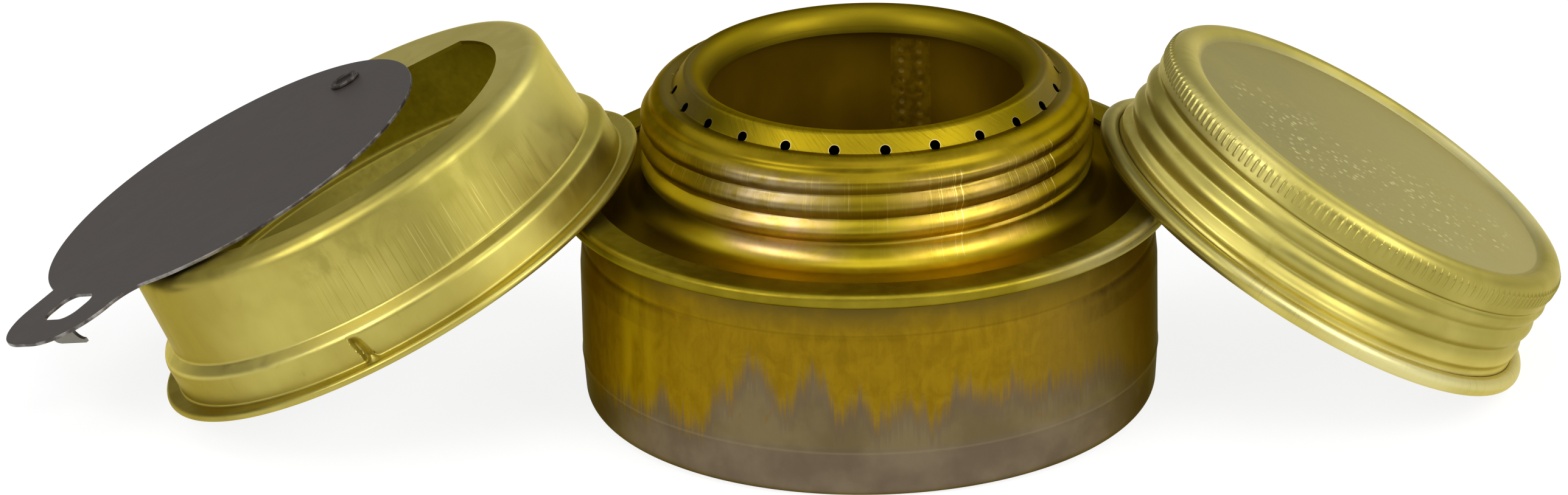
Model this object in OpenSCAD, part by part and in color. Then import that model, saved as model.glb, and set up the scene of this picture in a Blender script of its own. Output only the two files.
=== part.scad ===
// Spirit burner with its simmer ring and its screw cap leaning against it.
// The burner stands on the plane z = 0 with its axis on the Z axis.

/* [Fuel cup] */
// Outside diameter of the cup's wall
cup_d = 70; // [66:0.5:76]
// Thickness of the brass sheet of the cup, the collar, the tube and the simmer ring
sheet = 0.5; // [0.4:0.05:0.6]
// Radius of the corner between the base and the wall
cup_corner = 3; // [2:0.1:4]
// Height of the line where the wall starts to draw in towards the base
foot_h = 6; // [4.2:0.1:8]
// How far the wall draws in below that line
foot_inset = 0.4; // [0.1:0.05:0.8]
// Height of the crease round the upper wall
crease_h = 20.8; // [16:0.1:22]
// How far the wall steps in at the crease
crease_depth = 0.3; // [0.1:0.05:0.4]
// Height of the slope that leads up to the crease
crease_slope = 3.5; // [1:0.25:6]
// Height of the folded rim's top above the base
rim_h = 27.2; // [25:0.1:30]
// How far the rim stands out from the wall
rim_overhang = 2.6; // [2.2:0.1:3.6]
// Width of the rim's top, from its round edge to the cut edge of the sheet
rim_land = 4.2; // [3.4:0.1:4.6]
// Radius of the rim's rolled edges
rim_roll = 0.7; // [0.65:0.05:0.9]
// Play between the sheets that are folded together in the rim
rim_play = 0.15; // [0.1:0.05:0.4]

/* [Jet collar] */
// Diameter of the neck at the roots of its thread
neck_d = 53.5; // [51.5:0.1:54]
// Height of the crown's top above the shoulder that the simmer ring drops onto
neck_h = 15.05; // [14.5:0.05:17]
// Radius of the flare between the shoulder and the neck
flare_r = 2.4; // [1.2:0.1:2.8]
// Height of the thread's ridges
thread_depth = 0.75; // [0.4:0.05:0.9]
// Spacing of the thread's ridges
thread_pitch = 3; // [2.8:0.05:3.4]
// Distance from the ledge below the jets down to the first ridge
thread_start = 2.5; // [1.9:0.1:3]
// Radius of the rounded shoulder above the thread
bead_r = 2.8; // [2:0.1:3.2]
// How far that shoulder stands above the ledge
bead_rise = 0.25; // [0.1:0.05:0.4]
// How far that shoulder's round edge lies inside the roots of the thread
bead_inset = 0.3; // [0.1:0.05:0.6]
// Distance from the roots of the thread in to the throat
jacket_w = 6.4; // [6:0.05:7.2]
// Width of the rounded crown round the throat
crown_w = 1.5; // [1.4:0.1:1.8]
// Height of the crown above the ledge outside the jets
crown_h = 2.1; // [1.8:0.1:2.6]
// Width of the sloping face that the jets pierce
jet_face_w = 1.55; // [1.2:0.05:2]
// Height of the jets' centres above the ledge
jet_rise = 0.35; // [0.3:0.05:0.8]
// Number of jets
jet_count = 24; // [12:1:32]
// Diameter of a jet
jet_d = 1.3; // [0.8:0.1:1.6]
// Turn of the row of jets about the burner's axis
jet_turn = -2.7; // [-7.5:0.1:7.5]
// Depth of the lip that is turned down into the throat
throat_lip = 4.1; // [3:0.1:6]

/* [Inner tube and wick] */
// Play between the tube and the throat's lip
tube_play = 0.15; // [0.05:0.05:0.3]
// How far the tube reaches up round the throat's lip
tube_lap = 1.1; // [0.6:0.1:1.5]
// Width of the tube's lapped seam
seam_w = 5.4; // [3:0.2:8]
// Diameter of the fuel ports at the tube's foot
port_d = 4; // [2:0.5:6]
// Number of fuel ports
port_count = 4; // [2:1:8]
// Play round the wick
wick_play = 0.25; // [0.1:0.05:0.6]
// Height of the wick
wick_h = 30; // [20:1:34]

/* [Simmer ring] */
// Height of the ring
ring_h = 17.75; // [16.5:0.25:20]
// Play between the ring's lip and the cut edge of the rim that it drops into
ring_lip_play = 0.5; // [0.2:0.1:1]
// Width of the lip
ring_lip_w = 2.1; // [1.2:0.1:2.6]
// Thickness of the folded lip
ring_lip_t = 1; // [0.9:0.1:1.4]
// Height of the wide band's top above the lip's underside
ring_band_h = 5; // [3.5:0.25:6]
// Height of the shoulder between the band and the wall
ring_shoulder_h = 1; // [0.6:0.1:2]
// Room between the ring's wall and the neck's thread
ring_room = 1.1; // [0.6:0.05:1.4]
// How far the wall draws in towards its top
ring_taper = 0.5; // [0:0.1:1]
// Outside radius of the ring's top edge
ring_corner = 2; // [1.2:0.1:2.4]
// Width of the ring's top, from its outer edge in to the opening
ring_land = 5.6; // [4:0.1:7]
// How far inside the opening's circle the flap's pivot lies
pivot_inset = 3; // [2:0.1:4]
// Distance from the flap's pivot to the straight edge of its land
land_reach = 3.8; // [3:0.1:5]
// Number of grip dimples pressed into the band
dimple_count = 3; // [2:1:6]
// Depth of a grip dimple
dimple_depth = 0.9; // [0.4:0.1:1]
// Radius of the punch that presses the dimples
dimple_r = 1.8; // [1.2:0.1:2]
// Direction in which the ring leans away from the burner, from the X axis
ring_heading = 176; // [150:1:210]

/* [Flap] */
// Thickness of the flap's sheet
flap_t = 0.45; // [0.4:0.05:0.6]
// How far the flap's disc overlaps the opening all round
flap_lap = 2.55; // [2:0.05:3.5]
// How far past the ring's axis the disc's centre lies when the flap is shut
flap_shift = 0.7; // [0:0.1:1.5]
// Angle that the flap is swung open
flap_swing = 45; // [0:5:180]
// Play between the ring's top and the flap
flap_play = 0.4; // [0.2:0.05:0.5]
// How far the tab stands out from the disc
tab_reach = 10; // [8.5:0.1:12]
// Width of the tab
tab_w = 18.2; // [16:0.2:22]
// How far the tab's middle lies off the disc's middle, away from its near side
tab_shift = 0.4; // [0:0.1:1]
// Radius of the tab's round corners
tab_corner = 7.5; // [4:0.1:7.6]
// Radius of the fillet where the tab's near side meets the disc
tab_fillet = 5; // [2:0.25:6]
// Distance from the tab's end to the bent tongue
tongue_inset = 4.7; // [4.2:0.1:6]
// Width of the tongue
tongue_w = 5.4; // [4.8:0.2:8]
// Length of the tongue below the flap
tongue_drop = 2.8; // [2.4:0.1:4]
// Radius of the tongue's lower far corner
tongue_corner = 2.2; // [0.5:0.1:2.4]
// How far the tongue's hooked tip stands out towards the tab's near side
hook_w = 2.2; // [1:0.1:2.4]
// Thickness of the hook's end
hook_tip = 0.5; // [0.3:0.05:0.8]
// Length of the hole that the tongue is bent out of
hole_l = 5.4; // [4.6:0.1:6]
// Room on each side of the tongue in that hole
hole_room = 0.5; // [0.2:0.05:0.8]
// Radius of the hole's corners
hole_corner = 2; // [1:0.1:2.2]
// Diameter of the rivet's shank
rivet_d = 2.4; // [2:0.1:3]
// Diameter of the rivet's heads
rivet_head_d = 3.9; // [3.4:0.1:5]
// Height of the rivet's heads
rivet_head_h = 0.4; // [0.3:0.05:0.8]
// Running play between the rivet and the flap
rivet_play = 0.06; // [0.03:0.01:0.1]

/* [Screw cap] */
// Height of the cap
cap_h = 15.25; // [14.5:0.25:18]
// Thickness of the cap's sheet
cap_sheet = 0.4; // [0.3:0.05:0.45]
// Play between the cap's thread and the neck's
thread_play = 0.15; // [0.1:0.05:0.3]
// Outside diameter of the curled edge's roll
curl_d = 2.3; // [2:0.1:2.8]
// How far the wall steps out to the curled edge
curl_step = 0.6; // [0.4:0.1:1]
// Distance from the cap's top down to the crease under the knurled band
cap_crease = 4.55; // [4:0.05:5.5]
// How far the knurled band stands out from the thread's roots
knurl_rise = 0.4; // [0.3:0.05:0.8]
// Radius of the round crest of the cap's top edge
cap_corner = 2; // [1.6:0.1:2.2]
// Distance from the knurled band in to the recessed panel
panel_inset = 3.8; // [3.4:0.05:5]
// Depth of that panel
panel_drop = 0.75; // [0.4:0.05:1]
// Thickness of the seal ring's cord
seal_d = 3.6; // [2.6:0.1:3.8]
// Play round the seal ring
seal_play = 0.1; // [0.05:0.05:0.2]
// Direction in which the cap leans away from the burner, from the X axis
cap_heading = 2; // [-30:1:30]

/* [Lean] */
// Gap between the rim and the simmer ring's lip that crosses it
ring_rim_gap = 0.3; // [0.2:0.05:0.8]
// Gap between the neck and the raised end of the simmer ring's lip
ring_neck_gap = 0.4; // [0.2:0.05:1]
// Gap between the rim and the cap's curled edge that crosses it
cap_rim_gap = 0.55; // [0.2:0.05:0.8]
// Gap between the neck and the raised end of the cap's curled edge
cap_neck_gap = 0.85; // [0.2:0.05:1]

/* [Hidden] */
$fn = 96;

// Largest turn between two points of a rounded corner, in degrees
arc_step = 15;
// Distance under which two points of an outline count as one
same_point = 0.001;
// Overshoot of a cutting tool past the face that it cuts
over = 1;

// Fuel cup: the rim folds three layers of sheet together
cup_r = cup_d / 2;
rim_r = cup_r + rim_overhang;
fold_h = 3 * sheet + 2 * rim_play;
flange_r = rim_r - rim_roll;
land_r = rim_r - rim_land;

// Jet collar
shoulder_z = rim_h - sheet - rim_play;
crown_z = shoulder_z + neck_h;
ledge_z = crown_z - crown_h;
neck_r = neck_d / 2;
crest_r = neck_r + thread_depth;
throat_r = neck_r - jacket_w;
crown_r = throat_r + crown_w;
ledge_r = crown_r + jet_face_w;
jet_slope = atan2(crown_h, jet_face_w);
jet_z = ledge_z + jet_rise;
jet_r = ledge_r - jet_rise / tan(jet_slope);
first_ridge_z = ledge_z - thread_start;
lowest_ridge_z = shoulder_z + flare_r + thread_pitch / 2;
ridge_count = 1 + floor((first_ridge_z - lowest_ridge_z) / thread_pitch);

// Inner tube and wick
tube_inner_r = throat_r + sheet + tube_play;
tube_outer_r = tube_inner_r + sheet;
tube_top_z = crown_z - throat_lip + tube_lap;

// Simmer ring
ring_lip_r = land_r - ring_lip_play;
ring_band_r = ring_lip_r - ring_lip_w;
ring_wall_r = crest_r + ring_room + sheet;
ring_top_r = ring_wall_r - ring_taper;
opening_r = ring_top_r - ring_land;
pivot_offset = opening_r - pivot_inset;
land_edge = pivot_offset - land_reach;

// Flap, drawn with its pivot at the origin and its tab along +Y
flap_r = opening_r + flap_lap;
flap_arm = pivot_offset + flap_shift;
flap_z = ring_h + flap_play;
tab_end = flap_arm + flap_r + tab_reach;
tongue_y = tab_end - tongue_inset - flap_t;

// Screw cap
cap_root_r = neck_r + thread_play + cap_sheet;
cap_crest_r = crest_r + thread_play + cap_sheet;
curl_bend_r = curl_d / 2 - cap_sheet;
curl_r = cap_root_r + curl_step + curl_bend_r;
cap_crease_z = cap_h - cap_crease;
knurl_r = cap_root_r + knurl_rise;
panel_z = cap_h - panel_drop;
panel_r = knurl_r - panel_inset;
cap_ridge_count = floor((cap_crease_z - curl_d - curl_step) / thread_pitch);
seal_r = knurl_r - cap_sheet - seal_play - seal_d / 2;

// Outline functions

function unit(v) = v / norm(v);
function flat(p) = [p[0], p[1]];
function backwards(list) = [for (i = [len(list) - 1 : -1 : 0]) list[i]];

// Points of an arc about a centre, from one angle to another
function arc(centre, radius, from, to) =
    let (steps = max(1, ceil(abs(to - from) / arc_step)))
    [for (i = [0 : steps])
        let (angle = from + (to - from) * i / steps)
        centre + radius * [cos(angle), sin(angle)]];

// Arc that rounds one corner of a path, never longer than half of either leg
function corner(before, at, after, radius) =
    let (
        back = unit(before - at),
        ahead = unit(after - at),
        half = acos(back * ahead) / 2,
        room = min(norm(before - at), norm(after - at)) / 2,
        reach = min(radius / tan(half), room),
        bend = reach * tan(half),
        centre = at + unit(back + ahead) * bend / sin(half),
        start = at + back * reach - centre,
        finish = at + ahead * reach - centre,
        from = atan2(start[1], start[0]),
        turn = atan2(start[0] * finish[1] - start[1] * finish[0], start * finish)
    )
    arc(centre, bend, from, from + turn);

// Path through points of the form [distance from the axis, height, corner radius]
function rounded(points) =
    let (last = len(points) - 1)
    [for (i = [0 : last])
        each i == 0 || i == last || points[i][2] == 0
            ? [flat(points[i])]
            : corner(flat(points[i - 1]), flat(points[i]), flat(points[i + 1]), points[i][2])];

// The same path without repeated points
function distinct(path) =
    [for (i = [0 : len(path) - 1])
        if (i == 0 || norm(path[i] - path[max(i - 1, 0)]) > same_point) path[i]];

// Unit vector to the left of the way from a to b
function left_of(a, b) = let (d = unit(b - a)) [-d[1], d[0]];

// The path moved to its left by a thickness
function moved_left(path, thickness) =
    let (last = len(path) - 1)
    [for (i = [0 : last])
        let (
            n1 = left_of(path[max(i - 1, 0)], path[max(i, 1)]),
            n2 = left_of(path[min(i, last - 1)], path[min(i + 1, last)])
        )
        path[i] + thickness * (n1 + n2) / (1 + n1 * n2)];

// Revolves a path of an outer face into a sheet whose thickness lies on the path's left
module spun_sheet(points, thickness) {
    path = distinct(points);
    rotate_extrude()
        polygon(concat(path, backwards(moved_left(path, thickness))));
}

// Leaning lids

// A lid's edge is a round roll of radius roll_r about a circle of radius edge_r, and it stands
// on the base plane. A roll of radius contact_roll about a circle of radius contact_r, with
// its underside in the plane of the lid's mouth, rests on the rim.

// Height of the middle of a lid's mouth
function mouth_h(edge_r, roll_r, tilt) = edge_r * sin(tilt) + roll_r * (1 - cos(tilt));

// Distance from the burner's axis to the middle of a lid's mouth
function lean_reach(edge_r, roll_r, contact_r, contact_roll, rim_gap, tilt) =
    let (
        contact_h = rim_h + rim_gap + contact_roll * (1 - cos(tilt)),
        climb = contact_h - mouth_h(edge_r, roll_r, tilt),
        turn = acos(min(1, climb / (contact_r * sin(tilt)))),
        beyond_rim = contact_r * cos(tilt) * cos(turn),
        to_rim = sqrt(pow(flange_r, 2) - pow(contact_r * sin(turn), 2))
    )
    to_rim + beyond_rim - contact_roll * sin(tilt);

// Tilt at which the raised end of a lid's edge comes to the neck, found by halving
function lean_tilt(edge_r, roll_r, contact_r, contact_roll, rim_gap, neck_gap, low, high, rounds) =
    let (
        tilt = (low + high) / 2,
        reach = lean_reach(edge_r, roll_r, contact_r, contact_roll, rim_gap, tilt),
        raised_end = reach + roll_r * sin(tilt) - edge_r * cos(tilt) - roll_r,
        too_flat = raised_end > crest_r + neck_gap
    )
    rounds == 0 ? tilt
    : lean_tilt(
        edge_r, roll_r, contact_r, contact_roll, rim_gap, neck_gap,
        too_flat ? tilt : low, too_flat ? high : tilt, rounds - 1
    );

// Stands a lid on the base plane and leans it on the rim, with its raised end at the neck
module leaning(heading, edge_r, roll_r, contact_r, contact_roll, rim_gap, neck_gap) {
    flattest = 5;
    steepest = 60;
    rounds = 30;
    tilt = lean_tilt(
        edge_r, roll_r, contact_r, contact_roll, rim_gap, neck_gap, flattest, steepest, rounds
    );
    reach = lean_reach(edge_r, roll_r, contact_r, contact_roll, rim_gap, tilt);
    rotate([0, 0, heading])
        translate([reach, 0, mouth_h(edge_r, roll_r, tilt)])
            rotate([0, tilt, 0])
                children();
}

// The inner edge of the ring's lip is sharp, so it rests on the rim with no roll
module leaning_ring() {
    lip_roll_r = ring_lip_t / 2;
    leaning(
        ring_heading, ring_lip_r - lip_roll_r, lip_roll_r, ring_band_r, 0,
        ring_rim_gap, ring_neck_gap
    )
        children();
}

module leaning_cap() {
    leaning(cap_heading, curl_r, curl_d / 2, curl_r, curl_d / 2, cap_rim_gap, cap_neck_gap)
        children();
}

// Burner

module fuel_cup() {
    wall_top_r = cup_r - crease_depth;
    wall_bend_r = 0.8;
    color("#8f6d3a")
        spun_sheet(rounded([
            [0, 0, 0],
            [cup_r - foot_inset, 0, cup_corner],
            [cup_r, foot_h, 0],
            [cup_r, crease_h - crease_slope, 0],
            [wall_top_r, crease_h, 0],
            [wall_top_r, rim_h - fold_h, wall_bend_r],
            [rim_r, rim_h - fold_h, rim_roll],
            [rim_r, rim_h, rim_roll],
            [land_r, rim_h, 0]
        ]), sheet);
}

// Outer face of the collar, from its flange in the rim up the neck and down into the throat
function collar_path() =
    let (
        ridge_bend_r = 1.2,
        ledge_bend_r = 0.2,
        bead_end = 72,
        lowest = first_ridge_z - (ridge_count - 1) * thread_pitch,
        root_z = lowest - thread_pitch / 2,
        bead_foot_z = first_ridge_z + thread_start / 2,
        bead_centre = [neck_r - bead_inset - bead_r, ledge_z + bead_rise - bead_r],
        bead_foot = asin((bead_foot_z - bead_centre[1]) / bead_r),
        bead = arc(bead_centre, bead_r, bead_foot, bead_end)
    )
    concat(
        rounded(concat(
            [[flange_r, shoulder_z, 0]],
            [[neck_r, shoulder_z, flare_r], [neck_r, root_z, ridge_bend_r]],
            [for (i = [0 : ridge_count - 1])
                each [
                    [crest_r, lowest + i * thread_pitch, ridge_bend_r],
                    if (i < ridge_count - 1)
                        [neck_r, lowest + (i + 0.5) * thread_pitch, ridge_bend_r]
                ]],
            [bead[0]]
        )),
        bead,
        rounded([
            bead[len(bead) - 1],
            [ledge_r, ledge_z, ledge_bend_r],
            [crown_r, crown_z, crown_w / 2],
            [throat_r, crown_z, crown_w / 2],
            [throat_r, crown_z - throat_lip, 0]
        ])
    );

module jet_collar() {
    jet_depth = 4 * sheet;
    color("#a07c45")
        difference() {
            spun_sheet(collar_path(), sheet);
            for (i = [0 : jet_count - 1])
                rotate([0, 0, jet_turn - 90 + (i + 0.5) * 360 / jet_count])
                    translate([jet_r, 0, jet_z])
                        rotate([0, jet_slope, 0])
                            cylinder(d = jet_d, h = jet_depth, center = true);
        }
}

module inner_tube() {
    seam_turn = seam_w / tube_inner_r * 180 / PI;
    seam_top_z = crown_z - throat_lip - tube_play;
    seam_heading = 74;
    color("#5a4326")
        difference() {
            union() {
                translate([0, 0, sheet])
                    difference() {
                        cylinder(r = tube_outer_r, h = tube_top_z - sheet);
                        translate([0, 0, -over])
                            cylinder(r = tube_inner_r, h = tube_top_z - sheet + 2 * over);
                    }
                translate([0, 0, sheet])
                    rotate([0, 0, seam_heading - seam_turn / 2])
                        rotate_extrude(angle = seam_turn)
                            translate([tube_inner_r - sheet, 0])
                                square([1.5 * sheet, seam_top_z - sheet]);
            }
            for (i = [0 : port_count - 1])
                translate([0, 0, sheet])
                    rotate([0, 90, (i + 0.5) * 360 / port_count])
                        cylinder(d = port_d, h = tube_outer_r + over);
        }
}

module wick() {
    wick_inner_r = tube_outer_r + wick_play;
    wick_outer_r = neck_r - sheet - wick_play;
    color("#d8d0bc")
        translate([0, 0, sheet])
            difference() {
                cylinder(r = wick_outer_r, h = wick_h);
                translate([0, 0, -over])
                    cylinder(r = wick_inner_r, h = wick_h + 2 * over);
            }
}

// Simmer ring

module ring_shell() {
    lip_roll_r = ring_lip_t / 2;
    band_bend_r = 0.6;
    foot_bend_r = 1;
    shoulder_bend_r = 0.5;
    spun_sheet(rounded([
        [ring_band_r + ring_lip_w / 2, ring_lip_t, 0],
        [ring_band_r, ring_lip_t, band_bend_r],
        [ring_band_r, ring_band_h, foot_bend_r],
        [ring_wall_r, ring_band_h + ring_shoulder_h, shoulder_bend_r],
        [ring_top_r, ring_h, ring_corner],
        [0, ring_h, 0]
    ]), sheet);
    rotate_extrude() {
        translate([ring_lip_r - lip_roll_r, lip_roll_r])
            circle(r = lip_roll_r);
        translate([ring_band_r, 0])
            square([ring_lip_w - lip_roll_r, ring_lip_t]);
    }
}

// Outer face of the punch that presses the dimples, grown by an extra thickness
module dimple_punches(extra) {
    for (i = [0 : dimple_count - 1])
        rotate([0, 0, 90 + i * 360 / dimple_count])
            translate([ring_band_r + dimple_r - dimple_depth, 0, (ring_lip_t + ring_band_h) / 2])
                sphere(r = dimple_r + extra);
}

module simmer_ring() {
    land_cut = opening_r + land_edge;
    color("#b9a861")
        leaning_ring()
            difference() {
                union() {
                    ring_shell();
                    intersection() {
                        dimple_punches(sheet);
                        cylinder(r = ring_band_r - sheet / 2, h = ring_band_h);
                    }
                }
                dimple_punches(0);
                translate([0, 0, ring_h - sheet - over])
                    linear_extrude(sheet + 2 * over)
                        intersection() {
                            circle(r = opening_r);
                            translate([-opening_r, -land_edge])
                                square([2 * opening_r, land_cut]);
                        }
                translate([0, -pivot_offset, ring_h - sheet - over])
                    cylinder(d = rivet_d, h = sheet + 2 * over);
            }
}

module pivot_rivet() {
    lower_head_z = ring_h - sheet - rivet_head_h;
    upper_head_z = flap_z + flap_t + rivet_play;
    color("#6b6558")
        leaning_ring()
            translate([0, -pivot_offset, 0]) {
                translate([0, 0, lower_head_z])
                    cylinder(d = rivet_head_d, h = rivet_head_h);
                translate([0, 0, lower_head_z])
                    cylinder(d = rivet_d, h = upper_head_z - lower_head_z + rivet_head_h);
                translate([0, 0, upper_head_z])
                    cylinder(d1 = rivet_head_d, d2 = rivet_head_d - rivet_head_h, h = rivet_head_h);
            }
}

// Flap

// Tab with round outer corners, from the disc's centre to its end
module tab_outline() {
    half_w = tab_w / 2;
    translate([tab_shift - half_w, flap_arm])
        square([tab_w, tab_end - tab_corner - flap_arm]);
    translate([tab_shift + tab_corner - half_w, flap_arm])
        square([tab_w - 2 * tab_corner, tab_end - flap_arm]);
    for (side = [-1, 1])
        translate([tab_shift + side * (half_w - tab_corner), tab_end - tab_corner])
            circle(r = tab_corner);
}

// Fillet in the corner between the disc and the tab's near side
module fillet_outline() {
    near_x = tab_w / 2 - tab_shift;
    centre_x = near_x + tab_fillet;
    centre_y = flap_arm + sqrt(pow(flap_r + tab_fillet, 2) - pow(centre_x, 2));
    difference() {
        polygon([
            [0, flap_arm],
            [0, centre_y],
            [-near_x, centre_y],
            [-centre_x, centre_y]
        ]);
        translate([-centre_x, centre_y])
            circle(r = tab_fillet);
    }
}

// Hole left in the tab by the bent tongue
module hole_outline() {
    hole_w = tongue_w + 2 * hole_room;
    translate([tab_shift, tongue_y - hole_l / 2]) {
        square([hole_w, hole_l - 2 * hole_corner], center = true);
        square([hole_w - 2 * hole_corner, hole_l], center = true);
        for (side = [-1, 1], end = [-1, 1])
            translate([side * (hole_w / 2 - hole_corner), end * (hole_l / 2 - hole_corner)])
                circle(r = hole_corner);
    }
}

// Tongue bent down from the hole's outer edge, square to the sheet, with a tip hooked to the near side
module tongue() {
    half_w = tongue_w / 2;
    foot_z = -tongue_drop - flap_t;
    translate([tab_shift, tongue_y + flap_t, flap_t])
        rotate([90, 0, 0])
            linear_extrude(flap_t) {
                translate([-half_w, foot_z + tongue_corner])
                    square([tongue_w, -foot_z - tongue_corner]);
                translate([-half_w, foot_z])
                    square([tongue_w - tongue_corner, -foot_z]);
                translate([half_w - tongue_corner, foot_z + tongue_corner])
                    circle(r = tongue_corner);
                translate([-half_w, foot_z])
                    difference() {
                        translate([-hook_w, 0])
                            square([hook_w, hook_w + hook_tip]);
                        translate([-hook_w, hook_w + hook_tip])
                            circle(r = hook_w);
                    }
            }
}

module flap() {
    color("#4f483f")
        leaning_ring()
            translate([0, -pivot_offset, flap_z])
                rotate([0, 0, -flap_swing]) {
                    linear_extrude(flap_t)
                        difference() {
                            union() {
                                translate([0, flap_arm])
                                    circle(r = flap_r);
                                tab_outline();
                                fillet_outline();
                            }
                            hole_outline();
                            circle(r = rivet_d / 2 + rivet_play);
                        }
                    tongue();
                }
}

// Screw cap

// Outer face of the cap, from inside its curled edge up the wall to the middle of the panel
function cap_path() =
    let (
        curl_end = 105,
        crest_end = 115,
        step_bend_r = 0.5,
        ridge_bend_r = 1,
        band_bend_r = 0.3,
        panel_bend_r = 0.5,
        wall_foot_r = curl_r - curl_bend_r,
        lowest = cap_crease_z - (cap_ridge_count - 0.5) * thread_pitch,
        crest_centre = [knurl_r - cap_corner, cap_h - cap_corner],
        crest = arc(crest_centre, cap_corner, 0, crest_end)
    )
    concat(
        arc([curl_r, curl_d / 2], curl_bend_r, curl_end, -180),
        rounded(concat(
            [
                [wall_foot_r, curl_d / 2, 0],
                [wall_foot_r, curl_d, step_bend_r],
                [cap_root_r, curl_d + curl_step, step_bend_r]
            ],
            [for (i = [0 : cap_ridge_count - 1])
                each [
                    [cap_root_r, lowest + (i - 0.5) * thread_pitch, ridge_bend_r],
                    [cap_crest_r, lowest + i * thread_pitch, ridge_bend_r]
                ]],
            [
                [cap_root_r, cap_crease_z, band_bend_r],
                [knurl_r, cap_crease_z + knurl_rise, band_bend_r],
                crest[0]
            ]
        )),
        crest,
        rounded([
            crest[len(crest) - 1],
            [panel_r, panel_z, panel_bend_r],
            [0, panel_z, 0]
        ])
    );

module screw_cap() {
    color("#b3a268")
        leaning_cap()
            spun_sheet(cap_path(), cap_sheet);
}

module cap_seal() {
    panel_under_z = panel_z - cap_sheet;
    room_r = seal_d / 2 + seal_play;
    beside_panel = seal_r - panel_r - cap_sheet;
    under_panel_z = panel_under_z - sqrt(max(0, pow(room_r, 2) - pow(beside_panel, 2)));
    under_edge_z = cap_h - cap_sheet - room_r;
    color("#26241f")
        leaning_cap()
            rotate_extrude()
                translate([seal_r, min(under_panel_z, under_edge_z)])
                    circle(d = seal_d);
}

fuel_cup();
jet_collar();
inner_tube();
wick();
simmer_ring();
pivot_rivet();
flap();
screw_cap();
cap_seal();
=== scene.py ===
"""Looks of the spirit burner with its leaning simmer ring and screw cap."""
import math

import bmesh
import bpy
import numpy as np
from mathutils import Matrix, Vector
from numpy.linalg import norm


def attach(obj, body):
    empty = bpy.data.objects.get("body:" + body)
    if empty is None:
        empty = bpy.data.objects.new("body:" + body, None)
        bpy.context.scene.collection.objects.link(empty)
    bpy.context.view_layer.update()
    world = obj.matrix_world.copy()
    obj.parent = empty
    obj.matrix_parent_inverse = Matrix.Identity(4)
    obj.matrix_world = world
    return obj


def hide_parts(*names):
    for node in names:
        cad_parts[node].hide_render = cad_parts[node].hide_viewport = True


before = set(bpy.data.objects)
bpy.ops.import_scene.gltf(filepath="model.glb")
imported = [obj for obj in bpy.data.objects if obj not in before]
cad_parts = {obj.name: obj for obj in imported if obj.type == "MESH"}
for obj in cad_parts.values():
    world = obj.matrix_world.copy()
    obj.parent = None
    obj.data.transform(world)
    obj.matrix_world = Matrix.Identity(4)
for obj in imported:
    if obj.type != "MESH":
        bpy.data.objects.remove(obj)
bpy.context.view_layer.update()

MM = 0.001

# Sizes in millimetres, most of them those of the part's source. The throat's funnel, the
# tube's hidden top and the tongue with its hook differ a little from it.
CUP_R = 35.0
CUP_CORNER = 3.0
FOOT_H = 6.0
FOOT_INSET = 0.4
CREASE_H = 20.8
CREASE_DEPTH = 0.3
CREASE_SLOPE = 3.5
RIM_H = 27.2
RIM_R = 37.6
RIM_ROLL = 0.7
FOLD_H = 1.8
LAND_R = 33.4
SHEET = 0.5

SHOULDER_Z = 26.55
FLANGE_R = 36.9
NECK_R = 26.75
FLARE_R = 2.4
THREAD_DEPTH = 0.75
THREAD_PITCH = 3.0
CROWN_Z = 41.6
LEDGE_Z = 39.5
LEDGE_R = 23.4
CROWN_R = 21.85
CROWN_ROLL = 0.75
FUNNEL_H = 3.4
FUNNEL_W = 2.1
FUNNEL_END = 172.0
THROAT_R = 20.35
THROAT_LIP = 4.1
BEAD_R = 2.8
BEAD_RISE = 0.25
BEAD_INSET = 0.3
BEAD_END = 72.0
JET_COUNT = 24
JET_D = 1.3
JET_TURN = -2.7
JET_RISE = 0.35
JET_SLOPE = math.atan2(CROWN_Z - LEDGE_Z, LEDGE_R - CROWN_R)
JET_R = LEDGE_R - JET_RISE / math.tan(JET_SLOPE)

TUBE_R = 21.0
TUBE_TOP_Z = 39.8
SEAM_W = 5.4
SEAM_HEADING = 74.0

RING_H = 17.75
RING_LIP_R = 32.9
RING_LIP_T = 1.0
RING_BAND_R = 30.8
RING_BAND_H = 5.0
RING_WALL_R = 29.1
RING_WALL_Z = 6.0
RING_TOP_R = 28.6
RING_CORNER = 2.0
OPENING_R = 23.0
LAND_EDGE = 16.2
PIVOT_OFFSET = 20.0

FLAP_T = 0.45
FLAP_R = 25.55
FLAP_ARM = 20.7
FLAP_Z = 18.15
FLAP_SWING = 45.0
TAB_END = 56.25
TAB_W = 18.2
TAB_SHIFT = 0.4
TAB_CORNER = 7.5
TAB_FILLET = 5.0
TONGUE_Y = 51.1
TONGUE_W = 5.4
TONGUE_DROP = 2.8
TONGUE_CORNER = 2.2
TONGUE_NEAR = 3.5
HOOK_W = 1.9
HOOK_TIP = 0.5
HOLE_W = 6.4
HOLE_L = 5.4
HOLE_CORNER = 2.0
RIVET_R = 1.2
RIVET_HEAD_R = 1.95
RIVET_HEAD_H = 0.4
RIVET_PLAY = 0.06
RIVET_HOLLOW = (1.35, 1.05, 0.22)

CAP_H = 15.25
CAP_SHEET = 0.4
CURL_R = 28.65
CURL_BEND_R = 0.75
CURL_MID_Z = 1.15
CURL_START = 127.0
CAP_ROOT_R = 27.3
CAP_ROOT_Z = 3.9
CAP_CREASE_Z = 10.7
KNURL_R = 27.7
CAP_CORNER = 2.0
CREST_END = 115.0
PANEL_R = 23.9
PANEL_Z = 14.5

# Where the lids lean: heading, reach, height of the mouth's middle, tilt
RING_LEAN = (176.0, 56.8349, 15.1544, 27.7718)
CAP_LEAN = (2.0, 53.2454, 15.2668, 31.7928)


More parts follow.
